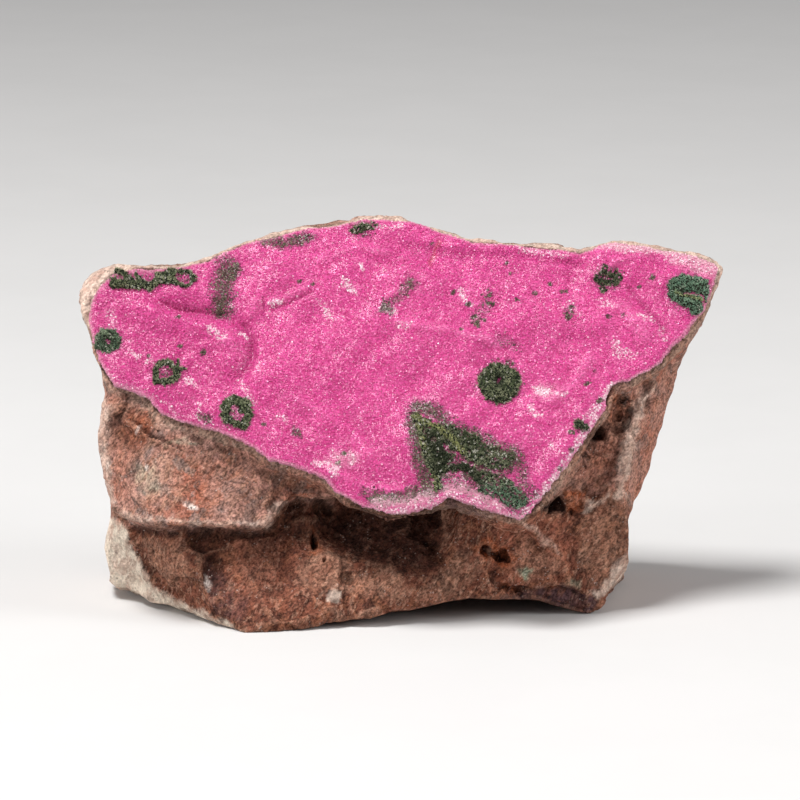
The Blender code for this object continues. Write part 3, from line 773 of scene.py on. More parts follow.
# raised lines: points, reach and height
rockRidges = [
    ([(-35.3, -28.5), (-34.5, -32.7), (-33.5, -38.4)], 1.2, 0.35),
    ([(8.9, -21.8), (9.1, -26.2), (8.5, -30.3)], 0.7, 0.7),
    ([(23.8, -24.4), (26.4, -25.6), (28.7, -28.5), (31.5, -30.1), (33.1, -32.7), (33.7, -36.6)],
     1.1, 0.75),
    ([(23.6, -26.5), (27.4, -29.4), (30.4, -32.4), (31.4, -35.4)], 2.6, -0.5),
    ([(51.1, 3.2), (48.9, 0.0), (47.2, -4.4), (46.0, -8.5), (45.2, -14.1), (44.4, -20.2),
      (45.2, -26.2)], 0.9, 1.0),
    ([(36.9, -22.0), (39.6, -20.4), (41.8, -18.8)], 0.8, 1.0),
    ([(43.4, 2.4), (42.6, -0.6), (43.2, -3.4), (42.2, -6.6)], 0.6, 0.7),
    ([(46.0, 1.6), (45.2, -1.8), (44.8, -5.2)], 0.5, 0.5),
    ([(44.8, 0.4), (45.0, -3.0), (44.0, -6.4)], 2.8, 1.2), ([(47.6, 2.4), (46.6, -1.2)], 1.4, 0.7),
    ([(37.0, -10.4), (40.4, -11.6), (42.8, -10.8)], 0.6, 0.45),
    ([(-54.9, -25.8), (-53.5, -29.9), (-52.1, -34.3), (-49.5, -37.6), (-44.4, -40.6), (-38.0, -44)],
     0.8, 0.55),
    ([(-58.0, -22.2), (-54.5, -23.8), (-50.5, -24.8), (-45.9, -25.0), (-40.4, -24.8),
      (-34.3, -25.5), (-27.8, -25.4), (-25.2, -22.8), (-22.4, -19.4), (-18.8, -19.4),
      (-14.7, -20.2)], 0.9, 0.55),
    ([(-55.2, -16.8), (-52, -19.6), (-48.3, -23.2)], 1.1, 0.5),
]
# colours that lie on the rock, painted shade and painted highlights among them, as the camera sees
# them: outline, softness, strength
facetLeft = [
    (-60.6, -22.4), (-56.5, -24.6), (-54.7, -26.9), (-53.3, -31.5), (-51.7, -35.5), (-48.9, -38.6),
    (-43.4, -41.4), (-37.4, -44.4), (-31.7, -47.2), (-37.3, -50), (-50.5, -45), (-62.6, -44),
]
rockPaint = {
    # partly the body's own darker brown, and partly painted shade on the lower body and in the
    # hollows under the crust's edge
    "umber": [
        ([(-56, -25.4), (-27, -26.8), (-22.6, -20.0), (-11, -21.4), (8, -19.5), (20, -19.5),
          (30, -20.6), (36.5, -19.5), (42, -17.5), (47.5, -24), (47.5, -34), (40, -44), (20, -46),
          (-20, -50), (-38, -48), (-52, -40), (-57, -34)], 2.0, 0.92),
        ([(-35.3, -9.1), (-22.2, -13.6), (-11.1, -18.0), (-9, -21.0), (-22.2, -20.0), (-28.2, -24.4),
          (-32.3, -23.2), (-35.7, -16.2)], 5.0, 0.42),
        ([(34.7, -13.7), (38.4, -6.5), (42.8, -2.0), (46.6, 0.5), (46.0, -5.0), (44.0, -11.1),
          (42.4, -16.5), (38.4, -20.4), (31, -20)], 2.5, 0.42),
        ([(-58.6, 1.0), (-51.0, -2.4), (-48.8, -8.6), (-54.0, -11.0), (-59.4, -7.0)], 3.0, 0.7),
    ],
    "tan": [
        ([(-20.2, -33.5), (-15.7, -30.6), (-10.5, -31.9), (-9.7, -34.7), (-4.4, -34.9), (-1.0, -37.1),
          (4.0, -38.0), (0.0, -40.4), (-10.1, -38.4), (-16.2, -38.8), (-20.2, -37.1)], 2.5, 0.44),
        ([(3.0, -40.4), (8.1, -34.3), (13.1, -29.3), (16.2, -35.3), (13.1, -38.8), (8.1, -40.8)],
         3.0, 0.35),
        ([(36, -24), (42, -19), (45, -17), (45.5, -30), (40.4, -38.4), (36.5, -33)], 2.5, 0.4),
        ([(51.5, 3.6), (48.3, -0.4), (46.2, -8.1), (45.0, -14.1), (44.2, -24), (47.6, -23),
          (51.0, -12.1), (54.0, -3.1), (58.0, 8.0), (56.6, 8.0)], 1.6, 0.12),
        ([(-51.3, -12.5), (-44.8, -12.1), (-43.4, -20.2), (-48.5, -21.8), (-50.9, -18.2)], 3.0, 0.35),
        ([(-33.5, -27.6), (-25, -28.4), (-24, -34), (-26, -37), (-31, -38.4), (-33, -36)], 3.5, 0.12),
        ([(-52, -28), (-43.6, -28), (-42.4, -36), (-46, -38), (-50, -34)], 3.0, 0.4),
        ([(24, -26.4), (30, -30.6), (33, -34.8), (26, -36.8), (23.4, -34), (24.4, -30)], 2.5, 0.42),
        # painted light that lifts the shade in the hollow at the right
        ([(42.6, 0.4), (46.6, 1.4), (46.2, -4), (44.6, -8), (42.0, -7)], 2.0, 0.4),
        ([(-6.5, -32.4), (-1, -33.4), (1.4, -37.6), (-4, -37.8)], 1.4, 0.6),
        ([(-18.6, -31.6), (-15.4, -30.4), (-13.4, -31.6), (-17.4, -33.6)], 1.2, 0.6),
        ([(8.2, -22.4), (9.8, -22.4), (9.9, -29.6), (8.6, -30)], 0.8, 0.4),
    ],
    "brick": [
        ([(-35, -28), (-18, -28), (-16, -35), (-20, -43), (-33, -44)], 5.0, 0.3),
        ([(20, -24), (33, -24), (36, -30), (32, -37), (20, -37)], 4.0, 0.45),
        ([(38.8, -7), (42.4, -1), (45.6, 0.6), (44.6, -6), (43.6, -12), (38.4, -18), (34.7, -13.7)],
         3.0, 0.35),
        ([(53, 4), (49.6, -4), (47.6, -12), (46.6, -22), (49, -20), (56, -2), (60, 10)], 2.0, 0.5),
        ([(-49.5, -6.4), (-44.5, -7.0), (-42, -10.4), (-49, -10.4)], 2.0, 0.5),
        ([(-58, -8), (-54, -10), (-54, -22), (-57.6, -20)], 3.0, 0.4),
    ],
    "cream": [
        (facetLeft, 1.4, 0.94),
        ([(-14.7, -40.4), (-13.1, -38.2), (-11.5, -38.6), (-12.7, -41.2)], 0.6, 0.75),
        ([(46.6, -33.0), (44.8, -36.3), (41.6, -39.0), (39.6, -40.4), (38.6, -38.4), (41.6, -36.0),
          (43.6, -33.3), (45.4, -30.6)], 1.0, 0.6),
        ([(-67, 30), (-53, 30), (-52, 27.0), (-57.5, 25.5), (-61.5, 20), (-62.5, 13), (-68, 13)],
         1.2, 0.65),
        ([(-62.6, 6), (-60, 4), (-58.8, -2), (-59.4, -9), (-58.4, -17), (-57.6, -20.6), (-61, -20),
          (-64, -6)], 1.2, 0.45),
        # the pale crest ridge at the right, with a painted highlight along it
        ([(50.6, 3.0), (47.6, -0.2), (45.7, -4.6), (44.5, -8.7), (43.8, -14.1), (43.6, -20),
          (45.2, -20), (46.2, -14.3), (47.3, -8.3), (48.3, -4.2), (49.7, -0.4), (51.6, 2.8)],
         1.1, 0.5),
        # a painted highlight along the diagonal ridge
        ([(24.4, -24.4), (26.4, -26.4), (29.3, -29.3), (32.1, -31.5), (32.9, -31.1), (30.7, -28.7),
          (27.4, -25.4)], 0.9, 0.3),
        ([(-29.3, -25.2), (-23.8, -19.9), (-21.6, -19.5), (-25.6, -24.8), (-27.1, -26.6)], 0.5, 0.4),
        # a painted highlight along the lit edge of the ledge, and a chipped edge at the right
        ([(-57.5, -23.0), (-54.5, -24.0), (-46, -25.0), (-34.3, -25.3), (-28.0, -25.2),
          (-28.0, -24.6), (-34.3, -24.6), (-46, -24.3), (-54.5, -23.3), (-57.5, -22.3)], 0.7, 0.4),
        ([(36.4, -21.6), (39.4, -20.0), (42.2, -18.2), (42.0, -19.2), (39.8, -21.0), (37.2, -22.6)],
         0.7, 0.45),
    ],
    # dark wine-coloured stone, and painted shade under the crust's lip, under the ledge's edge and on
    # the underside between the feet
    "wine": [
        ([(-39.8, -32.3), (-34.5, -36.4), (-30.7, -40.4), (-31.2, -44.4), (-35.3, -44.8),
          (-39.0, -40.0)], 2.0, 0.45),
        ([(20.2, -39.8), (24.2, -38.8), (29.3, -37.8), (33.5, -37.6), (36.7, -38.8), (39.4, -40.0),
          (38.4, -46), (32.3, -46), (20.2, -46)], 0.8, 0.95),
        ([(8.4, -19.0), (12, -19.8), (18, -21.2), (24, -23.6), (22, -24.4), (16, -23.2), (10, -22)],
         0.8, 0.7),
        ([(-29.3, -24.6), (-30, -26.8), (-54.5, -26.2), (-54.5, -25.0)], 0.7, 0.2),
        ([(-46.5, -7.6), (-40, -8.6), (-36.6, -11.6), (-39, -13), (-44, -11.4)], 2.0, 0.35),
        ([(-32, -14.4), (-27, -16.2), (-23.4, -18), (-26, -19), (-31, -17)], 1.8, 0.25),
    ],
    "rust": [
        ([(-54.9, -2.0), (-50.5, -3.6), (-50.1, -7.7), (-53.5, -9.3), (-56.1, -6.1)], 2.5, 0.4),
        ([(-41.4, -14.1), (-35.9, -12.5), (-35.1, -20.2), (-39.4, -23.8), (-41.2, -20.2)], 3.0, 0.4),
        ([(14.2, -29.9), (17.6, -28.0), (22.4, -29.9), (24.0, -33.1), (20.2, -34.1), (16.2, -32.3)],
         1.3, 0.9),
        ([(-18.4, -24.8), (-16.0, -25.8), (-15.8, -30.7), (-18.4, -31)], 0.9, 0.8),
        ([(33.6, -18.4), (37.4, -17.6), (37.6, -20.4), (35.6, -22.0), (33.8, -21.6)], 0.8, 0.95),
        ([(20.2, -37.0), (23.0, -37.6), (22.6, -39.2), (19.2, -39.0)], 0.8, 0.7),
        ([(42.8, 2.4), (46.0, 0.8), (44.8, -2.4), (42.8, -5.0), (41.6, -2.0)], 1.4, 0.6),
    ],
    "verdigris": [
        (facetLeft, 2.0, 0.26),
        ([(-53.6, -13.4), (-49.4, -13), (-48.6, -18.6), (-52.6, -19.6)], 2.0, 0.34),
        ([(23.6, -34.5), (26.2, -33.9), (27.5, -35.1), (25.0, -36.3)], 0.9, 0.9),
        ([(34.3, -36.3), (36.7, -35.9), (36.3, -37.6), (33.9, -37.6)], 0.9, 0.5),
        ([(-48.5, -8.6), (-46.2, -8.4), (-43.0, -7.4), (-40.5, -8.6), (-47, -9.4)], 0.8, 0.4),
    ],
    # painted shade, near black: the recess under the lip, under the ledge's edge, the gully and the
    # pits
    "night": [
        ([(-16.6, -20.6), (8.1, -20.2), (8.5, -26.2), (7.9, -35.2), (2.0, -35.6), (-2.4, -34.6),
          (-9.7, -31.4), (-14.1, -29.2)], 6.0, 0.8),
        ([(-27.5, -25.6), (-23.4, -20.2), (-11, -20.8), (-12, -27.6), (-20, -29)], 3.0, 0.45),
        ([(-54.5, -25.2), (-46, -26.0), (-34.3, -26.4), (-27.6, -26.0), (-27.4, -27.4),
          (-34.3, -27.8), (-46, -27.2), (-54.5, -26.4)], 1.0, 0.55),
        ([(1, -21), (8.0, -20.8), (8.2, -26), (7.8, -32.4), (3, -33)], 1.2, 0.5),
        ([(-33, -28), (-19, -28), (-17, -35), (-22, -41), (-31, -42)], 5.0, 0.2),
        ([(9, -24), (17, -24.6), (17.6, -28.6), (15.6, -35), (10, -37)], 3.0, 0.2),
        ([(-42.8, -26.2), (-36.1, -26.2), (-36.1, -32.3), (-36.1, -38.0), (-39.4, -38.8),
          (-41.0, -35.1), (-42.0, -30.3)], 3.4, 0.6),
        ([(16.2, -31.0), (16.8, -29.2), (18.0, -30.0), (18.8, -30.8), (20.4, -30.6), (22.2, -32.6),
          (20.4, -32.2), (17.6, -31.8)], 0.6, 0.95),
        ([(-18.0, -26.4), (-16.9, -26.4), (-16.9, -30.2), (-17.9, -30.2)], 0.5, 1.0),
        ([(29.8, -20.8), (31.4, -19.2), (33.4, -19.8), (33.4, -22.2), (31.0, -23.0), (28.6, -22.8)],
         0.7, 1.0),
        ([(34.2, -21.4), (35.0, -21.4), (35.0, -23.4), (34.2, -23.4)], 0.5, 0.8),
        ([(38.4, -5.6), (41.0, -5.2), (41.0, -8.4), (38.2, -8.4)], 1.2, 0.85),
        ([(19.6, -38.0), (21.8, -38.0), (21.8, -38.9), (19.6, -38.9)], 0.6, 0.9),
    ],
    "quartz": [
        ([(-43.9, -19.6), (-42.6, -20.2), (-41.0, -22.0), (-42.0, -22.4), (-43.6, -20.8)], 0.5, 0.9),
        ([(-39.9, -35.6), (-38.4, -36.6), (-38.6, -38.8), (-39.6, -38.4)], 0.5, 0.8),
        ([(-53.4, -5.2), (-52.4, -5.2), (-52.4, -6.4), (-53.4, -6.4)], 0.4, 0.6),
        ([(-51.6, -12.6), (-50.4, -12.6), (-50.6, -14.0), (-51.8, -13.8)], 0.5, 0.6),
    ],
}


def addRockRelief(piece):
    # facets, lumps and streaks pushed out along the normal, in Geometry Nodes
    tree, start, end = newShaping("rockRelief")
    place = addNode(tree, "GeometryNodeInputPosition").outputs[0]
    along = stretched(tree, place, *rock["grainTurn"])

    def chips(size, height):
        cells = addNode(tree, "ShaderNodeTexVoronoi", feature="SMOOTH_F1")
        cells.inputs["Scale"].default_value = 1000 / size
        cells.inputs["Smoothness"].default_value = 0.12
        put(tree, cells.inputs["Vector"], place)
        tilt = vectorCalc(tree, "SUBTRACT", cells.outputs["Color"], (0.5, 0.5, 0.5))
        away = vectorCalc(tree, "SUBTRACT", place, cells.outputs["Position"])
        slope = vectorCalc(tree, "DOT_PRODUCT", tilt, away)
        return calc(tree, "MULTIPLY", slope, 2.2 * height / size)

    def lumps(size, height, where):
        clouds = addNode(tree, "ShaderNodeTexNoise")
        clouds.inputs["Scale"].default_value = 1000 / size
        clouds.inputs["Detail"].default_value = 3
        put(tree, clouds.inputs["Vector"], where)
        level = calc(tree, "SUBTRACT", clouds.outputs[0], 0.5)
        return calc(tree, "MULTIPLY", level, 2 * height * mm)

    heights = [chips(size, height) for size, height in rock["chips"]]
    heights += [lumps(size, height, place) for size, height in rock["lumps"]]
    heights += [lumps(size, height, along) for size, height in rock["streaks"]]
    total = heights[0]
    for height in heights[1:]:
        total = calc(tree, "ADD", total, height)
    total = calc(tree, "MULTIPLY", total, named(tree, "calm"))
    crumbs = calc(tree, "MULTIPLY", lumps(*rock["crumbs"], place), named(tree, "crumbly"))
    total = calc(tree, "ADD", total, crumbs)
    normal = addNode(tree, "GeometryNodeInputNormal").outputs[0]
    move = addNode(tree, "GeometryNodeSetPosition")
    put(tree, move.inputs["Geometry"], start.outputs[0])
    put(tree, move.inputs["Offset"], vectorCalc(tree, "SCALE", normal, Scale=total))
    put(tree, end.inputs[0], move.outputs[0])
    piece.modifiers.new("Relief", "NODES").node_group = tree


def selvageAt(seen):
    # how far past the crumbly layer each seen place is, negative on it, then whether it is outside
    # the crust, and whether it is also below it
    edge = seenPlaces(facePoints(np.array(crustOutline), np.full(len(crustOutline), -0.6)))
    nearest, gap = nearestOn(edge, seen, closed=True)
    outside = ~isInside(edge, seen)
    width = np.interp(seen[:, 0], *np.array(selvageBand).T)
    return gap - width, outside, outside & (nearest[:, 1] > seen[:, 1] + 0.2)


def paintAt(seen, fronts, patches):
    # the strength of painted areas at each seen place, only where it faces the camera
    total = np.zeros(len(seen))
    for outline, softness, strength in patches:
        depth = depthIn(outline, seen)
        total = np.maximum(total, strength * ramp(depth, -softness / 2, softness / 2))
    return total * fronts


def sculptRock(mesh):
    # what the camera sees on the broken side, pressed in and raised
    points = pointsOf(mesh)
    normals = normalsOf(mesh)
    seen = seenPlaces(points)
    rough = strayed(seen, rock["roughStrays"])
    fine = strayed(seen, rock["fineStrays"])
    fronts = ramp(normals @ sightOut, -0.05, 0.3)
    shift = np.zeros(len(points))
    for middle, halfWidth, halfHeight, depth in rockPits:
        off = (fine - np.array(middle)) / np.array([halfWidth, halfHeight])
        shift -= depth * ramp(np.hypot(*off.T), 1.4, 0.5) * fronts
    for outline, softness, depth in rockHollows:
        shift -= depth * ramp(depthIn(outline, rough), -softness / 2, softness / 2) * fronts
    for line, reach, height in rockRidges:
        shift += height * ramp(distanceTo(line, fine), reach * 1.6, 0) * fronts
    past, outside, below = selvageAt(seen)
    past = past + 1.0 * noiseAt(flat3(seen), 3.4, 12) + 0.5 * noiseAt(flat3(seen), 1.1, 13)
    underCrust = ramp(seen[:, 0], -6, -12) + ramp(seen[:, 0], 28, 33)
    groove = rock["groove"] * ramp(past, -0.2, 0.4) * ramp(past, 2.0, 0.8)
    shift -= groove * below * fronts * underCrust
    places, out = facePlaces(points)
    toCrust = np.maximum(-depthIn(crustOutline, places), 0)
    near = ramp(out, -7, -3.5) * ramp(toCrust, 2.4, 0.8)
    calm = (1 - 0.8 * near) * (1 - paintAt(rough, fronts, rockSmooth))
    low = points[:, 2] < rock["footHeight"] * mm
    calm = np.where(low, np.minimum(calm, rock["footCalm"]), calm)
    movePoints(mesh, points + normals * (shift * (1 - near) * mm)[:, None])
    mark(mesh, "calm", calm)
    crumbly = ramp(past, 0.4, -0.4) * outside * fronts * ramp(out, -9, -5) * ramp(toCrust, 0.2, 1.0)
    mark(mesh, "crumbly", np.maximum(crumbly, paintAt(rough, fronts, rockRough) * (1 - near)))


def fitRock(mesh):
    # down under the crust, sloping off round its edge, and inside the outline that the camera sees
    points = pointsOf(mesh)
    places, out = facePlaces(points)
    depth = depthIn(crustOutline, places)
    gap = np.maximum(-depth, 0)
    topSide = ramp(places[:, 1], *rock["topSide"])
    ragged = 0.25 * noiseAt(flat3(places), 1.5, 14)
    limitTop = -rock["rimTop"][0] - rock["rimTop"][1] * gap
    limitSide = -rock["rimSide"][0] - rock["rimSide"][1] * gap
    limit = limitTop * topSide + limitSide * (1 - topSide) + ragged
    near = (depth <= 0.3) & (gap < 5) & (out > -6)
    out = np.where(near, np.minimum(out, limit), out)
    under = (depth > 0.3) & (out > -rock["bedDepth"])
    out[under] = -rock["bedDepth"]
    changed = near | under
    points[changed] = facePoints(places[changed], out[changed])
    seen = seenPlaces(points)
    jagged = strayed(seen, rock["edgeStrays"])
    nearest, gap = nearestOn(rockOutline, jagged)
    beyond = ~isInside(rockOutline, jagged) & (jagged[:, 1] > -38)
    push = (nearest - jagged) * beyond[:, None]
    points += (np.outer(push[:, 0], (1, 0, 0)) + np.outer(push[:, 1], sightUp)) * mm
    # the arch between the feet
    seen = seenPlaces(points)
    arch = np.interp(seen[:, 0], *np.array(rockFeet).T) + 0.25 * noiseAt(flat3(places), 2.2, 17)
    lift = np.clip(arch - seen[:, 1], 0, rock["archMost"]) / math.cos(drop)
    points[:, 2] += lift * mm * ramp(seen[:, 0], -58, -52) * (points[:, 1] < 0)
    movePoints(mesh, keepInBox(points))


def makeRock():
    piece = copyOfNode("matrix", "rockBody")
    remesh = piece.modifiers.new("Fine cells", "REMESH")
    remesh.mode = "VOXEL"
    remesh.voxel_size = rock["cell"] * mm
    soften = piece.modifiers.new("Soften", "SMOOTH")
    soften.factor = 0.5
    soften.iterations = rock["soften"]
    settle(piece)
    sculptRock(piece.data)
    addRockRelief(piece)
    settle(piece)
    fitRock(piece.data)
    # fewer triangles where they show least
    mesh = piece.data
    thin = piece.vertex_groups.new(name="thin")
    places, out = facePlaces(pointsOf(mesh))
    bottom = normalsOf(mesh)[:, 2] < -0.9
    hidden = bottom | ((depthIn(crustOutline, places) > 1) & (out > -3))
    back = normalsOf(mesh) @ sightOut < -0.1
    thin.add(np.flatnonzero(back).tolist(), rock["thinBack"], "REPLACE")
    thin.add(np.flatnonzero(hidden).tolist(), rock["thinHidden"], "REPLACE")
    mesh.calc_loop_triangles()
    count = len(mesh.loop_triangles)
    if count > rock["triangles"]:
        fewer = piece.modifiers.new("Fewer", "DECIMATE")
        fewer.ratio = rock["triangles"] / count
        fewer.vertex_group = "thin"
        fewer.vertex_group_factor = rock["sparing"]
        settle(piece)
    piece.vertex_groups.clear()
    print("rock cells:", count, "triangles before thinning")
    movePoints(piece.data, keepInBox(pointsOf(piece.data)))
    return piece


def paintRock(piece):
    mesh = piece.data
    points = pointsOf(mesh)
    normals = normalsOf(mesh)
    seen = strayed(seenPlaces(points), rock["paintStrays"])
    fronts = ramp(normals @ sightOut, -0.25, 0.1)
    for name, patches in rockPaint.items():
        mark(mesh, name, paintAt(seen, fronts, patches))
    places, out = facePlaces(points)
    past, outside, _ = selvageAt(seenPlaces(points))
    past = past + 1.0 * noiseAt(points / mm, 3.2, 9) + 0.5 * noiseAt(points / mm, 1.0, 10)
    toCrust = np.maximum(-depthIn(crustOutline, places), 0)
    layer = ramp(past, 0.5, -0.3) * outside * fronts * ramp(out, -12, -6)
    back = ramp(out + 0.35 * toCrust, -4.5, -2.5) * ramp(toCrust, 6, 3) * (1 - fronts)
    mark(mesh, "selvage", np.maximum(0.9 * layer, 0.6 * back))
    topRim = ramp(places[:, 1], *rock["topSide"]) * ramp(toCrust, 3.2, 1.2) * ramp(out, -4.5, -2.5)
    cream = paintAt(seen, fronts, rockPaint["cream"])
    mark(mesh, "cream", np.maximum(cream, 0.62 * topRim))
    mark(mesh, "relief", reliefOf(mesh))


rockBody = makeRock()
paintRock(rockBody)
shade(rockBody, True)
wear(rockBody, brokenDolomite)
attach(rockBody, "root")
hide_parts("matrix")
print("rock made:", len(rockBody.data.polygons), "faces")


# the crust of small crystals

crust = {
    "cell": 0.32, "sink": 0.26, "grow": 0.25, "back": -1.75, "folding": 1.4, "lowest": -1.45,
    "lumps": [(5.5, 0.34), (2.4, 0.18), (1.1, 0.07)], "spare": 0.15,
    # how far the rim strays: reach, size and seed, then how far it stands out
    "rim": [(0.3, 3.3, 21), (0.25, 1.1, 22)], "rimOut": 0.15,
    # the same for the crumbly steps down to the back, then how far each goes in
    "steps": (0.3, 1.2, 31), "stepIn": 0.05,
}
# folds of the crust: the line of each, how far it reaches to either side, and its height
crustFolds = [
    ([(-52, 45.5), (-47, 43.2), (-43, 41.8), (-39, 41.4), (-35.5, 40.2), (-33.6, 37.8), (-34, 34)],
     3.4, 0.85),
    ([(-47.5, 46.3), (-44.6, 45.2), (-39.4, 44.6), (-35, 43.8), (-31.2, 41.6),
      (-29.4, 38.6), (-29.6, 34.6), (-31.4, 31.2)], 1.6, -0.46),
    ([(-52, 51.6), (-46.5, 49.4), (-41, 49), (-35.6, 48.6)], 3.0, 0.45),
    ([(-30, 43.8), (-28.8, 47)], 1.7, 0.35),
    ([(-25.7, 46.8), (-22, 48.2), (-18.4, 50.6)], 1.3, 0.4),
    ([(-56, 31), (-40, 26), (-24, 17)], 4.0, 0.35),
    ([(-22, 30), (-8, 40), (6, 52)], 6.0, 0.4),
    ([(-12, 16), (4, 30), (14, 44)], 5.0, -0.35),
    ([(10, 38), (24, 42), (40, 42)], 4.5, 0.45),
    ([(6, 56), (20, 54), (34, 52)], 4.5, -0.4),
    ([(42, 57), (52, 53), (60, 46)], 4.0, 0.35),
    ([(26, 6), (33, 15), (38, 26)], 3.0, 0.35),
    # crisp creases and small swells
    ([(-47, 46.4), (-44.6, 45.4), (-39.4, 44.9), (-36.0, 44.3)], 0.8, -0.3),
    ([(-31.0, 41.4), (-29.4, 38.8), (-29.6, 35.4)], 0.9, -0.2),
    ([(-27.4, 47.8), (-27.2, 45.2)], 0.8, -0.2),
    ([(-25.4, 45.6), (-21.8, 47), (-18, 49)], 0.9, -0.25),
    ([(39.4, 52.6), (43.4, 55.7), (48.3, 57.3)], 1.0, 0.3),
    ([(46, 50), (48.3, 46.8), (51.0, 43.0), (53.0, 40.4)], 1.2, -0.35),
    ([(44, 46), (47.4, 42.4), (48.6, 39)], 2.4, 0.4),
    ([(-16, 56), (-9, 59), (-3, 58)], 1.6, 0.3),
    ([(2, 60), (10, 58), (22, 57.4)], 1.6, -0.3),
    ([(24, 58), (30, 56.4), (36, 55.6)], 1.4, -0.35),
    ([(0, 42.4), (10, 40.7), (20, 37.4)], 1.6, 0.3),
    ([(-20, 25.4), (-10, 19), (-4, 11)], 1.8, 0.3),
    ([(30, 25), (35, 29.5), (38, 35)], 1.8, 0.35),
    ([(-44, 32), (-40, 37), (-34, 38)], 1.6, 0.3),
    ([(-14, 10), (-6, 6.4), (2, 5.4)], 1.4, 0.35),
]
# white calcite in thin ragged clusters: its line on the face, reach and share of white
frostLines = [
    ([(-37.6, 40.4), (-35.6, 38.8)], 1.3, 0.75), ([(-31.9, 39.8), (-31.0, 39.2)], 0.8, 0.8),
    ([(-53.5, 35.8), (-52.4, 35.2)], 1.0, 0.6), ([(-50.4, 34.0), (-48.5, 33.4)], 0.7, 0.4),
    ([(-42.4, 29.8), (-40.6, 29.0)], 1.2, 0.55), ([(-39.9, 24.8), (-39.6, 23.0)], 0.7, 0.5),
    ([(-32.0, 29.6), (-30.6, 27.6), (-30.6, 26.2), (-29.2, 24.8)], 0.7, 0.42),
    ([(-28.3, 33.6), (-28.4, 31.6)], 0.8, 0.4), ([(-24.6, 22), (-22.4, 21.2)], 0.8, 0.3),
    ([(-10.9, 51), (-9.6, 49.6)], 1.4, 0.65), ([(-7.9, 55), (-7.4, 54.2)], 0.8, 0.6),
    ([(-14.8, 45), (-13.8, 44)], 1.0, 0.5), ([(-3.2, 45.4), (-1.4, 44.8)], 1.4, 0.65),
    ([(-0.4, 42), (1.4, 41.4)], 1.2, 0.3), ([(12.2, 49.6), (12.9, 47.6), (14.0, 46.6)], 0.8, 0.65),
    ([(27.0, 27.6), (29.6, 27.2)], 1.3, 0.8), ([(25.6, 23.8), (27.4, 21.8)], 1.1, 0.6),
    ([(30.6, 27.0), (32.6, 26.6)], 1.0, 0.4), ([(43.0, 37.6), (43.6, 36.0), (46, 35.6)], 1.6, 0.4),
    ([(47.8, 44.0), (50.2, 42.8)], 1.0, 0.45), ([(52.0, 40.8), (52.6, 39.0)], 1.0, 0.45),
    ([(40.4, 47), (42.6, 45.8)], 1.2, 0.35), ([(-25.4, 46.4), (-24.2, 46.9)], 0.8, 0.7),
    ([(-16.6, 47.4), (-15.2, 46.6)], 0.9, 0.35), ([(-9.8, 13.6), (-9.2, 12.2)], 0.9, 0.5),
    ([(-4.7, 2.7), (0, 1.9), (4, 2.7), (7, 3.9), (9.6, 5.4), (14.2, 3.9), (19.7, 2.1), (23.6, 1)],
     1.2, 0.4),
    ([(24.5, 1.6), (28.4, 6.3), (33, 12.7), (37.5, 19.7), (40, 25), (42.4, 29.6)], 0.9, 0.6),
    ([(-58.4, 32), (-55, 29), (-49.4, 26.7), (-43.4, 22.4), (-35.4, 19.9)], 0.7, 0.28),
    ([(41, 59.2), (50.6, 58.4), (57, 57), (62.6, 54.8)], 1.9, 0.4),
    ([(-16.4, 11.8), (-13.2, 11.0), (-12.6, 9.4)], 1.2, 0.55),
    ([(-13.4, 14.4), (-11.8, 13)], 1.0, 0.35),
    ([(-2.8, 4.9), (-1.4, 4.7)], 0.6, 0.9), ([(5.9, 5.8), (4.8, 5.2)], 0.6, 0.9),
    ([(7.9, 8.4), (9.9, 8.2), (12.8, 8.4)], 1.4, 0.4),
    ([(17.4, 11.1), (19.4, 10.8), (21.7, 11.7)], 0.5, 0.7),
    ([(34.4, 60.4), (40, 59)], 1.0, 0.3), ([(54, 56.8), (60, 54.8)], 1.6, 0.35),
    ([(-58, 45), (-57.4, 42)], 1.2, 0.35), ([(38.4, 24.4), (36.2, 20.4)], 0.7, 0.4),
    ([(33.4, 46.4), (36, 44)], 1.4, 0.25), ([(30, 15.6), (31.6, 13.4)], 1.2, 0.3),
    ([(-8, 63.8), (0, 63.9)], 1.0, 0.35), ([(24, 58.6), (33, 57.6)], 1.0, 0.35),
]
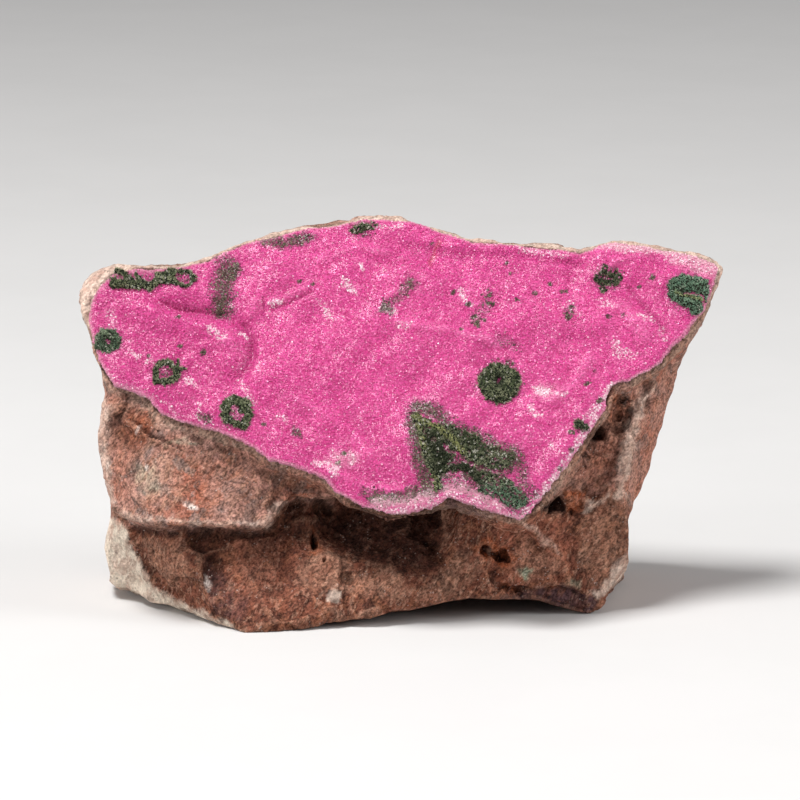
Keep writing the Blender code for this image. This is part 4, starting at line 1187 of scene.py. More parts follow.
# where crystals are stained green, one by one: line on the face, reach, share
greenLines = [
    ([(-34.8, 55.2), (-35.4, 52.4), (-35.6, 48.6), (-35.6, 45.2)], 2.9, 0.66),
    ([(-33.4, 54.4), (-35.2, 53.2), (-34.4, 52.4)], 2.0, 0.9),
    ([(-36.6, 50.6), (-35.9, 49.2)], 1.6, 0.8),
    ([(-35.2, 47.8), (-35.8, 46.6), (-36, 45.2)], 1.7, 0.9),
    ([(-26.9, 60.5), (-23.6, 60.2), (-20.6, 60.8), (-18.4, 61.4)], 1.9, 0.7),
    ([(1.9, 50.8)], 1.9, 0.75), ([(-2.6, 45.4)], 1.9, 0.7), ([(0.9, 49.3), (-1.4, 47.1)], 1.5, 0.45),
    ([(-39.5, 22.1), (-38.0, 21.6)], 1.2, 0.7), ([(-21.0, 19.4), (-20.2, 17.8)], 0.9, 0.65),
    ([(-5.6, 4.4), (-1.3, 4.2), (3.4, 5.4), (6.2, 5.8)], 1.7, 0.75),
    ([(2.4, 22.9), (3.6, 24.2), (6.9, 23.2), (9, 21)], 1.9, 0.75),
    ([(2.9, 21.5), (3.2, 17), (3.8, 12.4), (5, 8), (6, 5.8)], 2.0, 0.8),
    ([(5.5, 18), (6.4, 13.5), (8, 9.8)], 3.0, 0.95),
    ([(8.6, 18.2), (13, 16.2), (18, 13.8), (21.5, 12.6)], 3.6, 0.95),
    ([(14.5, 9.6), (18.5, 7.2), (23, 4.4)], 3.2, 0.9),
    ([(8.3, 20.5), (13.2, 18.9), (18.8, 16.2), (23.4, 13.3)], 1.6, 0.6),
    ([(23.4, 13.1), (24.3, 9.9), (24.6, 7), (26.3, 5.2)], 1.6, 0.5),
    ([(9, 13.5), (14, 11.2), (19, 9.5)], 2.4, 0.6), ([(16, 8.5), (20, 5.6), (23, 3.4)], 2.8, 0.6),
    ([(7.6, 6.6), (10.6, 8), (13.6, 6.4), (17, 4.6)], 1.7, 0.42), ([(-7, 5.6), (-3, 5.4)], 1.2, 0.4),
    ([(41.5, 51.8)], 3.4, 0.42), ([(15, 43), (17, 45.6), (17.7, 48.6)], 1.7, 0.2),
    ([(-57, 52.2), (-50, 51.8), (-43, 52)], 2.6, 0.3), ([(19.7, 29.1)], 5.0, 0.45),
    ([(-32.2, 22.4)], 3.6, 0.4), ([(-46.2, 31.4)], 3.4, 0.35), ([(-58.4, 38.4)], 3.2, 0.35),
    ([(57.5, 48.5)], 5.2, 0.3), ([(35.8, 19.6)], 1.8, 0.45), ([(33.8, 44.6)], 1.4, 0.3),
    ([(21.8, 33.4)], 1.4, 0.3), ([(-7.6, 63.6)], 3.2, 0.35), ([(20, 38.4), (23, 37)], 1.6, 0.22),
]
veins = [([(8.1, 60.7), (7.0, 58.0), (6.0, 55.1)], 0.8, 0.5)]
# where the crust is paler as a whole: line on the face, reach, share
paleLines = [
    ([(41, 60), (50.6, 59.2), (57, 58), (63.4, 55.8)], 1.7, 0.7),
    ([(56, 56.4), (62.4, 54)], 2.2, 0.35),
    ([(7.9, 6.2), (12.8, 6.4), (16, 4.6), (20, 2.6)], 1.2, 0.5),
    ([(-5, 3.6), (2, 3.4), (6, 4.8)], 1.5, 0.5),
    ([(-54, 54.2), (-49.8, 54), (-43.5, 54.8)], 1.0, 0.4), ([(28, 27.4), (30, 27)], 2.6, 0.2),
    ([(-13, 12), (-9.6, 13)], 2.4, 0.25),
]


def foldsAt(places, widest=99):
    total = np.zeros(len(places))
    for line, reach, lift in crustFolds:
        if reach < widest:
            total += lift * np.exp(-2 * (distanceTo(line, places) / reach) ** 2)
    return total * crust["folding"]


def crustHeight(places):
    # how far the crust stands out of its face
    seed = Vector((5.2, 9.4, 2.6))
    broad = [noise.noise(Vector((x / 19, y / 13, 0)) + seed) for x, y in places]
    streaks = [noise.noise(Vector(((x - y) / 6, (x + y) / 15, 0)) + seed) for x, y in places]
    height = 0.8 * np.array(broad) + 0.4 * np.array(streaks) + foldsAt(places)
    return height - 0.4 * np.exp(-distanceTo(crustOutline, places, closed=True) / 0.7)


def crustSurface(places):
    # the same with the small swells of the druse, down to where its crystals stand
    height = crustHeight(places) - crust["sink"]
    inner = ramp(distanceTo(crustOutline, places, closed=True), 0, 2.5)
    for size, lift in crust["lumps"]:
        height += lift * noiseAt(flat3(places), size, size) * (0.4 + 0.6 * inner)
    return np.maximum(height, crust["lowest"])


def rimAt(places):
    # the nearest point of the crust's outline, and the way from there to its middle
    found, _ = nearestOn(crustOutline, places, closed=True)
    inward = np.array(crustOutline).mean(0) - found
    return found, inward / np.hypot(*inward.T)[:, None]


def makeCrust():
    corners = np.array(crustOutline)
    low, high = corners.min(0) - 1, corners.max(0) + 1
    counts = np.ceil((high - low) / crust["cell"]).astype(int)
    bm = bmesh.new()
    bmesh.ops.create_grid(bm, x_segments=int(counts[0]), y_segments=int(counts[1]), size=1)
    places = np.array([v.co.xy for v in bm.verts])
    places = low + (places + 1) / 2 * (high - low)
    depth = depthIn(crustOutline, places)
    bm.verts.ensure_lookup_table()
    stray = [bm.verts[i] for i in np.flatnonzero(depth < -crust["grow"])]
    kept = places[depth >= -crust["grow"]]
    bmesh.ops.delete(bm, geom=stray, context="VERTS")
    for vert, (x, y) in zip(bm.verts, kept):
        vert.co = (x, y, 0)
    loose = [v for v in bm.verts if len(v.link_faces) == 0]
    bmesh.ops.delete(bm, geom=loose, context="VERTS")
    # the rim follows the outline, a little ragged
    rim = [v for v in bm.verts if v.is_boundary]
    rimPlaces = np.array([v.co.xy for v in rim])
    ragged = flat3(rimPlaces)
    found, inward = rimAt(rimPlaces)
    strays = sum(reach * noiseAt(ragged, size, seed) for reach, size, seed in crust["rim"])
    found = found + inward * (strays - crust["rimOut"])[:, None]
    for vert, (x, y) in zip(rim, found):
        vert.co = (x, y, 0)
    bmesh.ops.smooth_vert(bm, verts=rim, factor=0.5, use_axis_x=True, use_axis_y=True)
    bm.verts.ensure_lookup_table()
    places = np.array([v.co.xy for v in bm.verts])
    for vert, point in zip(bm.verts, facePoints(places, crustSurface(places))):
        vert.co = point
    # the rim goes down to the back, in crumbly steps
    edge = [e for e in bm.edges if e.is_boundary]
    for left in (2, 1, 0):
        made = bmesh.ops.extrude_edge_only(bm, edges=edge)["geom"]
        verts = [g for g in made if isinstance(g, bmesh.types.BMVert)]
        edge = [g for g in made if isinstance(g, bmesh.types.BMEdge) and g.is_boundary]
        where, out = facePlaces(np.array([v.co for v in verts]))
        _, inward = rimAt(where)
        reach, size, seed = crust["steps"]
        nibble = reach * noiseAt(flat3(where) + [0, 0, 3 - left], size, seed)
        where = where + inward * (nibble + crust["stepIn"])[:, None]
        depthNow = out + (crust["back"] - out) / (1 + left)
        for vert, point in zip(verts, facePoints(where, depthNow)):
            vert.co = point
    bmesh.ops.holes_fill(bm, edges=edge, sides=0)
    bmesh.ops.triangulate(bm, faces=[f for f in bm.faces if len(f.verts) > 4])
    bmesh.ops.recalc_face_normals(bm, faces=bm.faces)
    putInOrder(bm)
    piece = pieceFrom("calciteCrust", bm)
    movePoints(piece.data, keepInBox(pointsOf(piece.data), crust["spare"]))
    return piece


# malachite growths, each painted as strokes of a radius, areas, and holes that stay pink

growths = {
    "malachite_chain": {
        "name": "malachiteChain", "height": 0.6, "pale": 0.10,
        "strokes": [
            ([(-56.8, 53.6), (-55.5, 53.3), (-54.9, 52.5), (-54.1, 51.7)], 0.6),
            ([(-57.5, 50.8), (-56.3, 50.7), (-54.9, 50.8), (-53.5, 50.6), (-52, 50.2), (-50.6, 50.1),
              (-49.2, 50.6)], 1.05),
            ([(-57.4, 52.0), (-56.9, 51.2)], 0.5),
            ([(-53.1, 53.1), (-52.4, 52.2), (-52, 51.1)], 0.55), ([(-50.5, 50.1)], 1.15),
            ([(-44.3, 53.6), (-42.9, 53.8), (-41.8, 52.8), (-41.5, 51.5), (-42, 50.6), (-43.1, 50),
              (-44, 50.3)], 0.5),
        ],
        "areas": [[
            (-49.4, 53.6), (-48.1, 53.4), (-46.7, 54.2), (-45.5, 54.5), (-44.6, 53.8), (-44.9, 52.5),
            (-44.3, 51.2), (-44, 50.1), (-44.8, 50), (-46, 50.6), (-47.2, 50.6), (-48.6, 50.1),
            (-49.7, 50.6), (-49.3, 51.9)]],
    },
    "malachite_crest": {
        "name": "malachiteCrest", "height": 0.4, "bare": 0.15, "pale": 0.12,
        "areas": [[
            (-10.4, 62.9), (-9.4, 64), (-7.6, 64.6), (-6.2, 64.5), (-5.2, 65), (-4.6, 64.9),
            (-4.7, 64.1), (-5.7, 63.2), (-7.6, 62.6), (-8.8, 62.1), (-9.9, 62.4)]],
    },
    "malachite_ring_left": {
        "name": "malachiteRingLeft", "height": 0.45, "blue": 0.45, "pale": 0.08,
        "strokes": [([(-58.4, 38.4)], 2.7)], "holes": [([(-58.5, 38.5)], 0.4)],
        "deep": [([(-58.5, 38.5)], 1.3, 0.5)],
    },
    "malachite_ring_middle": {
        "name": "malachiteRingMiddle", "height": 0.5, "pale": 0.06,
        "strokes": [
            ([(-48.7, 30.2), (-48.7, 32.1), (-47.9, 33.3), (-46.7, 33.6), (-45.6, 33.2),
              (-44.4, 32.1), (-44.4, 30.8), (-45.5, 29.6), (-47.2, 29.1), (-48.5, 29.4),
              (-48.7, 30.2)], 0.68),
            ([(-44.1, 31.8), (-42.9, 32.2)], 0.32),
            ([(-44.5, 34), (-44, 33), (-44.4, 32.1)], 0.32)],
    },
    "malachite_ring_low": {
        "name": "malachiteRingLow", "height": 0.55, "pale": 0.08,
        "strokes": [
            ([(-34.6, 23.2), (-34.5, 24.4), (-33.5, 25.4), (-32.1, 25.4), (-30.5, 24.4),
              (-30, 22.9), (-30.3, 21), (-31, 19.6), (-32.3, 20.1), (-34, 20.7), (-34.7, 21.9),
              (-34.6, 23.2)], 0.9),
            ([(-31.9, 24.4), (-31.3, 22.9)], 0.6)],
    },
    "malachite_rosette": {
        "name": "malachiteRosette", "height": 0.75, "pale": 0.05,
        "strokes": [([(19.7, 29.1)], 4.25)],
        "holes": [([(19.8, 30.0), (19.5, 29.3)], 0.16)],
        "deep": [([(19.7, 30.2), (19.4, 29.1), (20, 28.5)], 0.8, 0.8)],
    },
    "malachite_patch_upper": {
        "name": "malachitePatchUpper", "height": 0.4, "bare": 0.22, "pale": 0.05,
        "deep": [([(40, 52.6), (43.6, 52)], 3.4, 0.5)],
        "strokes": [
            ([(41.1, 54.2), (40.9, 52.8)], 0.75), ([(39.6, 51.9), (41, 51.2), (42.9, 51.5)], 1.05),
            ([(40.8, 49.6)], 0.75), ([(43.5, 53.6), (44, 51.9)], 0.65),
            ([(42.2, 53.1), (43.3, 50.9)], 0.65), ([(44.8, 53.4)], 0.35)],
    },
    "malachite_patch_right": {
        "name": "malachitePatchRight", "height": 0.6, "blue": 0.85, "pale": 0.06,
        "areas": [
            [(54, 51.3), (55.2, 52.5), (57.3, 53), (60.3, 52.7), (62, 52), (62.1, 50.5), (61.9, 48.8),
             (61.5, 47.2), (60.9, 46.3), (60.6, 44.8), (59.8, 43.7), (58.5, 43.9), (57.6, 45),
             (56.1, 46.2), (54.6, 46.9), (53.9, 47.7), (53.7, 49.7)]],
        "holes": [
            ([(57.4, 48.6), (59, 48.5), (60.6, 48.0)], 0.3), ([(60.5, 47.7), (60.7, 46)], 0.25)],
        "yellow": [([(55.4, 48.8), (57.1, 48.1), (59.1, 47.2), (60.9, 46.9)], 0.4, 0.85)],
    },
    "malachite_patch_low": {
        "name": "malachitePatchLow", "height": 0.4, "bare": 0.1, "pale": 0.1,
        "deep": [([(35.2, 19.8), (36.6, 19.3)], 2, 0.4)],
        "strokes": [([(35.2, 19.8), (36.6, 19.3)], 0.95)],
    },
    "malachite_spray": {
        "name": "malachiteSpray", "height": 0.6, "bare": 0.08, "pale": 0.1,
        "strokes": [
            ([(3.1, 21.9), (4.6, 20.8), (6.1, 20.1), (7.3, 19.6), (8.6, 18.3), (9.9, 17.6),
              (10.7, 16.5), (11.7, 14.9), (12.4, 13.8)], 0.8),
            ([(3.1, 21.9), (4.1, 20.1), (4, 18.5), (4.5, 16.7), (4.8, 15.3), (5.3, 13.5), (6.1, 11.3),
              (6.9, 9.5), (7.4, 8.1), (7.3, 6.5)], 0.85),
            ([(10.4, 11), (12.2, 10.8), (13.5, 10.4), (14.5, 9.9), (14.8, 8.5), (15.3, 7)], 0.5),
        ],
        "areas": [
            [(5.1, 19.2), (7.3, 18.9), (8.9, 17.4), (10.2, 16), (11.2, 14.2), (10.5, 12.4),
             (8.9, 11.3), (7.6, 10.6), (6.6, 11.7), (5.8, 13.5), (5.4, 16)],
            [(8.3, 20.1), (10.6, 19.8), (13.2, 18.6), (16.2, 17.4), (18.8, 15.9), (21.2, 14.5),
             (23, 13.1), (22.3, 11.7), (20.2, 10.1), (17.4, 10.4), (14.8, 11.4), (13.2, 12),
             (12.2, 13.5), (11.2, 15.6), (9.9, 17.8)],
            [(14.8, 10.6), (17.4, 9.9), (20.1, 9.2), (22, 8.3), (23.2, 6.8), (24.4, 5.2),
             (25.2, 4.2), (24.4, 2.9), (23.1, 2), (22, 2.1), (20.3, 3.1), (18.4, 4), (16.7, 5.1),
             (15.4, 5.8), (14.8, 7.4)],
            [(6.6, 11.7), (8.9, 11.3), (10.4, 11.3), (12.8, 11.7), (14.8, 10.6), (14.5, 9.2),
             (11.5, 10), (8.5, 9.6), (7.2, 8.7)]],
        "holes": [
            ([(6.7, 16.7)], 0.55), ([(8.9, 15.3), (9.6, 14.2)], 0.5), ([(11, 14), (11.9, 13)], 0.35),
            ([(9.2, 8.4), (12.4, 8.2)], 0.9)],
        "yellow": [
            ([(3.1, 21.9), (4.6, 20.8), (6.1, 20.1), (7.3, 19.6), (8.6, 18.3), (9.9, 17.6),
              (10.7, 16.5), (11.7, 14.9), (12.4, 13.8)], 0.75, 1.0),
            ([(3.6, 20.9), (4.1, 19)], 0.7, 0.6), ([(4.5, 16.7), (4.9, 15.3)], 0.8, 0.8),
            ([(7.1, 8.5), (7.4, 7), (7.1, 6.3)], 0.9, 0.75)],
        "sparse": [
            ([(18.8, 15), (22.6, 12.8)], 4.0, 0.36), ([(12.8, 17.2), (16.4, 14.6)], 3.0, 0.2),
            ([(16.6, 8), (20, 6), (24, 4)], 3.4, 0.34)],
        "deep": [
            ([(10, 18), (14, 15.6), (18, 13.8), (22, 12)], 3.0, 0.4),
            ([(6.2, 17), (7.4, 15.2), (8.6, 12.6), (7.8, 11)], 2.0, 0.85),
            ([(10.4, 11), (13.5, 10.4), (14.8, 8.5), (15.6, 6.6)], 1.2, 0.95)],
        "blueBelow": (9.5, 5.5),
    },
}
# single small dots of malachite: place and radius
malachiteDots = [
    (10.7, 49.2, 0.3), (13.7, 46.5, 0.35), (17.7, 49.6, 0.2), (18, 48.6, 0.4), (17.5, 48.2, 0.3),
    (17.7, 46.8, 0.35), (18.6, 46.7, 0.35), (14.6, 43.6, 0.3), (16.9, 43, 0.25), (15.4, 42.3, 0.55),
    (15.7, 41.5, 0.3), (12.2, 40.7, 0.2), (15.2, 44.1, 0.2), (34.3, 45.7, 0.4), (34.5, 44.6, 0.3),
    (33.4, 44.2, 0.35), (33.6, 43.4, 0.5), (34.2, 43.7, 0.3), (33.7, 18.2, 0.35), (33.8, 14.5, 0.35),
    (37, 28.9, 0.3), (39.3, 24.9, 0.3), (-43.9, 37.2, 0.3), (-44.2, 43.2, 0.3), (-39.2, 35.9, 0.45),
    (-50.1, 35, 0.25), (50.7, 52.3, 0.4), (30.1, 51.1, 0.35), (27.1, 48.9, 0.35), (32.5, 49.2, 0.25),
    (33.3, 49.3, 0.25), (41.6, 43.5, 0.3), (34.2, 18.1, 0.3), (39.8, 25.4, 0.25), (37.6, 29.3, 0.25),
    (38.8, 32, 0.2), (23.4, 47.4, 0.25), (11.6, 62.6, 0.25), (21.4, 55.7, 0.25), (22.2, 53.4, 0.2),
    (-7.3, 61.8, 0.2), (-11.1, 14, 0.4), (-12.2, 11.8, 0.35), (-30.7, 25.6, 0.3), (-27, 20.2, 0.3),
    (21.5, 33.6, 0.3), (22.4, 33.2, 0.3), (31.6, 10.6, 0.3), (-20.2, 51.4, 0.25), (-17.4, 50.9, 0.2),
    (6.6, 60.2, 0.2), (48, 50.4, 0.2), (44.6, 43.8, 0.2),
]


def paintedDepth(paint, places):
    # how far inside the painted shape each place is, negative outside it
    depth = np.full(len(places), -9.0)
    for line, radius in paint.get("strokes", []):
        depth = np.maximum(depth, radius - distanceTo(line, places))
    for outline in paint.get("areas", []):
        depth = np.maximum(depth, depthIn(outline, places))
    for line, radius in paint.get("holes", []):
        depth = np.minimum(depth, distanceTo(line, places) - radius)
    return depth


def bareShare(paint, places):
    return np.maximum(paint.get("bare", 0.0), linesAt(paint.get("sparse", []), places, inner=0.6))


# the ragged edges of the growths, and how finely the crust shows through where they are thin
growthEdge = {"strays": [(1.4, 0.45, 61), (0.55, 0.38, 63)], "spots": (0.42, 65), "fade": 0.6}
# how the painted marks spread on the crust, and how strong each is at most
stains = {
    "strays": [(1.5, 0.8, 41), (0.6, 0.4, 43)], "toneSeed": 5,
    "frostReach": 0.85, "frostEdge": (1.15, 0.3), "frost": 0.9, "clusterFrom": 0.2,
    "dotEdge": 0.28, "dot": 0.9, "greenSpecks": 0.75, "greenPower": 1.4,
    # how far out of the face, and how deep under the growths, crystals still stand
    "crystalsFrom": (-1.72, -1.6), "crystalsUnder": (0.5, 0.15), "looseUnder": (0.3, 0.0),
    # crisp creases and broad folds, which give painted shade in their hollows and painted highlight
    # on their crests; painted shade deepens the pink towards the crust's lower tip and its left
    "narrowFolds": 2.5, "broadShare": 0.3, "lowShade": 0.38,
    "tip": (1.1, 32, 8), "left": (1.2, -22, -46), "rim": (0.45, 0.5), "side": 0.7,
}


def growthDepth(paint, places):
    # the painted shape with its ragged edge, and bare where the crust shows through
    depth = paintedDepth(paint, strayed(places, growthEdge["strays"]))
    bare = bareShare(paint, places)
    spots = noiseAt(flat3(places), *growthEdge["spots"])
    shown = (spots + 0.75 - 1.5 * bare) * growthEdge["fade"]
    return np.where(bare > 0, np.minimum(depth, shown), depth)


def frostAt(places):
    frost = np.zeros(len(places))
    for line, reach, share in frostLines:
        away = distanceTo(line, places) / (stains["frostReach"] * reach)
        frost = np.maximum(frost, stains["frost"] * share * ramp(away, *stains["frostEdge"]))
    return frost


def dotsAt(places):
    dots = np.zeros(len(places))
    for x, y, radius in malachiteDots:
        away = distanceTo([(x, y)], places)
        dots = np.maximum(dots, ramp(away, radius + stains["dotEdge"], radius))
    return dots


def growthsAt(places):
    covered = np.full(len(places), -9.0)
    for paint in growths.values():
        covered = np.maximum(covered, growthDepth(paint, places))
    return covered


def stainCrust(piece):
    mesh = piece.data
    places, out = facePlaces(pointsOf(mesh))
    moved = strayed(places, stains["strays"])
    frost, green, dots = frostAt(moved), linesAt(greenLines, moved), dotsAt(places)
    covered = growthsAt(places)
    toRim = distanceTo(crustOutline, places, closed=True)
    mark(mesh, "frost", frost)
    mark(mesh, "verdigris", np.maximum(green, dots * stains["dot"]))
    mark(mesh, "vein", linesAt(veins, moved, outer=1, inner=0))
    tip, left = stains["tip"], stains["left"]
    lower = tip[0] * ramp(places[:, 1], *tip[1:]) + left[0] * ramp(places[:, 0], *left[1:])
    # painted shade and painted highlight from the folds, and painted shade towards the lower tip and
    # the left
    folds = foldsAt(places, stains["narrowFolds"]) + stains["broadShare"] * foldsAt(places)
    mark(mesh, "fold", folds - stains["lowShade"] * lower)
    rim = stains["rim"][0] * ramp(toRim, stains["rim"][1], 0.0)
    mark(mesh, "rim", np.maximum(rim, linesAt(paleLines, moved)))
    # where the crystals of each kind grow
    top = ramp(out, *stains["crystalsFrom"]) * ramp(covered, *stains["crystalsUnder"])
    loose = ramp(covered, *stains["looseUnder"])
    mark(mesh, "topLeft", top * (places[:, 0] < 0))
    mark(mesh, "topRight", top * (places[:, 0] >= 0))
    mark(mesh, "top", top)
    mark(mesh, "frostHere", top * np.clip(frost - stains["clusterFrom"], 0, 1) * loose)
    specked = np.maximum(stains["greenSpecks"] * green ** stains["greenPower"], dots)
    mark(mesh, "greenHere", top * specked * loose)
    rng = np.random.default_rng(stains["toneSeed"])
    mark(mesh, "tone", rng.uniform(0, 1, len(places)))
    # the broken edge of the crust is paler and greyer
    normals = normalsOf(mesh)
    side = ramp(normals @ faceOut, 0.45, 0.15) * ramp(toRim, 1.2, 0.6) * ramp(out, -0.9, -1.5)
    mark(mesh, "lilac", stains["side"] * side)


calciteCrust = makeCrust()
stainCrust(calciteCrust)
shade(calciteCrust, True)
wear(calciteCrust, cobaltoanCalcite)
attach(calciteCrust, "root")
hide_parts("calcite_crust")
print("crust made:", len(calciteCrust.data.polygons), "faces")


# small things grown all over a surface

def scatter(name, ground, shape, options):
    # copies of a small shape on a surface, made into one mesh
    tree, start, end = newShaping(name + "Scatter")
    spread = addNode(tree, "GeometryNodeDistributePointsOnFaces", distribute_method="POISSON")
    put(tree, spread.inputs["Mesh"], start.outputs[0])
    spread.inputs["Distance Min"].default_value = options["spacing"] * mm
    spread.inputs["Density Max"].default_value = options["perSquareMm"] * 1e6
    spread.inputs["Seed"].default_value = options["seed"]
    put(tree, spread.inputs["Density Factor"], named(tree, options["where"]))
    turned = spread.outputs["Rotation"]
    if options.get("lean"):
        align = addNode(tree, "FunctionNodeAlignRotationToVector", axis="Z")
        put(tree, align.inputs["Vector"], named(tree, options["lean"], "FLOAT_VECTOR"))
        turned = align.outputs[0]
    tilt = math.radians(options["tilt"])
    anyTurn = addNode(tree, "FunctionNodeRandomValue", data_type="FLOAT_VECTOR")
    anyTurn.inputs[0].default_value = (-tilt, -tilt, 0)
    anyTurn.inputs[1].default_value = (tilt, tilt, 2 * math.pi)
    anyTurn.inputs["Seed"].default_value = options["seed"] + 1
    turn = addNode(tree, "FunctionNodeRotateRotation", rotation_space="LOCAL")
    put(tree, turn.inputs[0], turned)
    asTurn = addNode(tree, "FunctionNodeEulerToRotation")
    put(tree, asTurn.inputs[0], anyTurn.outputs[0])
    put(tree, turn.inputs[1], asTurn.outputs[0])
    anySize = addNode(tree, "FunctionNodeRandomValue", data_type="FLOAT")
    anySize.inputs[2].default_value = options["sizes"][0] * mm
    anySize.inputs[3].default_value = options["sizes"][1] * mm
    anySize.inputs["Seed"].default_value = options["seed"] + 2
    source = addNode(tree, "GeometryNodeObjectInfo")
    source.inputs["Object"].default_value = shape
    grow = addNode(tree, "GeometryNodeInstanceOnPoints")
    put(tree, grow.inputs["Points"], spread.outputs["Points"])
    put(tree, grow.inputs["Instance"], source.outputs["Geometry"])
    put(tree, grow.inputs["Rotation"], turn.outputs[0])
    put(tree, grow.inputs["Scale"], anySize.outputs[1])
    anyTone = addNode(tree, "FunctionNodeRandomValue", data_type="FLOAT")
    anyTone.inputs["Seed"].default_value = options["seed"] + 3
    keepTone = addNode(
        tree, "GeometryNodeStoreNamedAttribute", data_type="FLOAT", domain="INSTANCE")
    keepTone.inputs["Name"].default_value = "tone"
    put(tree, keepTone.inputs["Geometry"], grow.outputs[0])
    put(tree, keepTone.inputs["Value"], anyTone.outputs[1])
    real = addNode(tree, "GeometryNodeRealizeInstances")
    put(tree, real.inputs[0], keepTone.outputs[0])
    put(tree, end.inputs[0], real.outputs[0])
    piece = addPiece(name, ground.data.copy())
    piece.modifiers.new("Scatter", "NODES").node_group = tree
    settle(piece)
    return piece


def markTip(piece):
    height = pointsOf(piece.data)[:, 2]
    mark(piece.data, "tip", (height - height.min()) / (height.max() - height.min()))
    return piece


def makePointShape():
    # the three faces of a crystal's tip, as sharp as they are wide
    bm = bmesh.new()
    bmesh.ops.create_cone(bm, cap_ends=True, segments=3, radius1=0.62, radius2=0, depth=1)
    bmesh.ops.translate(bm, verts=bm.verts, vec=(0, 0, 0.12))
    return markTip(pieceFrom("pointShape", bm))


def makeRhombShape():
    # a cube on its corner, pressed a little flat: the calcite rhomb
    bm = bmesh.new()
    bmesh.ops.create_cube(bm, size=1)
    upright = Vector((1, 1, 1)).rotation_difference(Vector((0, 0, 1))).to_matrix()
    bmesh.ops.rotate(bm, verts=bm.verts, cent=(0, 0, 0), matrix=upright)
    bmesh.ops.scale(bm, verts=bm.verts, vec=(0.8, 0.8, 0.72))
    return markTip(pieceFrom("rhombShape", bm))


def makeBeadShape():
    # a rough bead of malachite
    bm = bmesh.new()
    bmesh.ops.create_icosphere(bm, subdivisions=1, radius=0.5)
    bmesh.ops.scale(bm, verts=bm.verts, vec=(1, 0.85, 0.9))
    return markTip(pieceFrom("beadShape", bm))


tuft = {
    "needles": [
        (0.0, 0.1, 1.0), (0.6, 0.55, 0.8), (1.9, 0.6, 0.95), (3.1, 0.5, 0.75), (4.3, 0.62, 0.9)],
    "spacing": 0.21, "perSquareMm": 15, "sizes": (0.42, 0.82), "tilt": 34, "seed": 5,
    "where": "grow", "lean": "lean", "thick": 0.15,
}


def makeTuftShape():
    # a few needles that spread from one foot: turn, tilt and length of each
    bm = bmesh.new()
    for turn, tilt, length in tuft["needles"]:
        made = bmesh.ops.create_cone(
            bm, cap_ends=True, segments=3, radius1=tuft["thick"], radius2=0, depth=1)["verts"]
        bmesh.ops.translate(bm, verts=made, vec=(0, 0, 0.38))
        bmesh.ops.scale(bm, verts=made, vec=(1, 1, length))
        around = Matrix.Rotation(turn, 3, "Z") @ Matrix.Rotation(tilt, 3, "X")
        bmesh.ops.rotate(bm, verts=made, cent=(0, 0, 0), matrix=around)
    return markTip(pieceFrom("tuftShape", bm))


# what grows on the crust: how close, how many, how big, and tilted by how many degrees at most
druse = {
    "points": {"spacing": 0.19, "perSquareMm": 22, "sizes": (0.26, 0.46), "tilt": 38},
    "rhombs": {"spacing": 0.4, "perSquareMm": 3.4, "sizes": (0.26, 0.48), "tilt": 50},
    "clusters": {"spacing": 0.24, "perSquareMm": 9, "sizes": (0.26, 0.46), "tilt": 60},
    "specks": {"spacing": 0.24, "perSquareMm": 10, "sizes": (0.22, 0.44), "tilt": 60},
    "clusterWhite": 0.85, "speckPale": 0.06, "speckTone": 0.6, "speckTip": 0.62,
}

pointShape = makePointShape()
rhombShape = makeRhombShape()
beadShape = makeBeadShape()
tuftShape = makeTuftShape()

finishes = {"cobaltoan_calcite": cobaltoanCalcite, "malachite": fibrousMalachite}
for name, shape, kind, seed, where, slot in (
    ("druseLeft", pointShape, "points", 3, "topLeft", "cobaltoan_calcite"),
    ("druseRight", pointShape, "points", 4, "topRight", "cobaltoan_calcite"),
    ("druseRhombs", rhombShape, "rhombs", 11, "top", "cobaltoan_calcite"),
    ("whiteCalcite", rhombShape, "clusters", 23, "frostHere", "cobaltoan_calcite"),
    ("malachiteSpecks", beadShape, "specks", 31, "greenHere", "malachite"),
):
    grains = scatter(name, calciteCrust, shape, {**druse[kind], "seed": seed, "where": where})
    movePoints(grains.data, keepInBox(pointsOf(grains.data)))
    count = len(grains.data.vertices)
    if kind == "clusters":
        mark(grains.data, "frost", np.full(count, druse["clusterWhite"]))
    if kind == "specks":
        mark(grains.data, "pale", np.full(count, druse["speckPale"]))
        for kept, share in (("tone", druse["speckTone"]), ("tip", druse["speckTip"])):
            values = np.zeros(count, np.float32)
            grains.data.attributes[kept].data.foreach_get("value", values)
            mark(grains.data, kept, share * values)
    shade(grains, False)
    wear(grains, finishes[slot])
    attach(grains, "root")
    print(name, "made:", len(grains.data.polygons), "faces")


# malachite

mounds = {
    "cell": 0.19, "margin": 0.8, "rise": 0.35, "foot": 0.35, "least": 0.05,
    # size, height and seed of the bumps on a mound
    "rough": [(0.9, 0.16, 51), (0.4, 0.1, 52)],
    # the needles lean away from the growth's middle, and any way by noise of this size and seed
    "fromMiddle": 0.6, "anyWay": 1.2, "wander": [(1.1, 54), (1.1, 55)],
    "blueBelow": 0.6, "tone": 0.2,
}


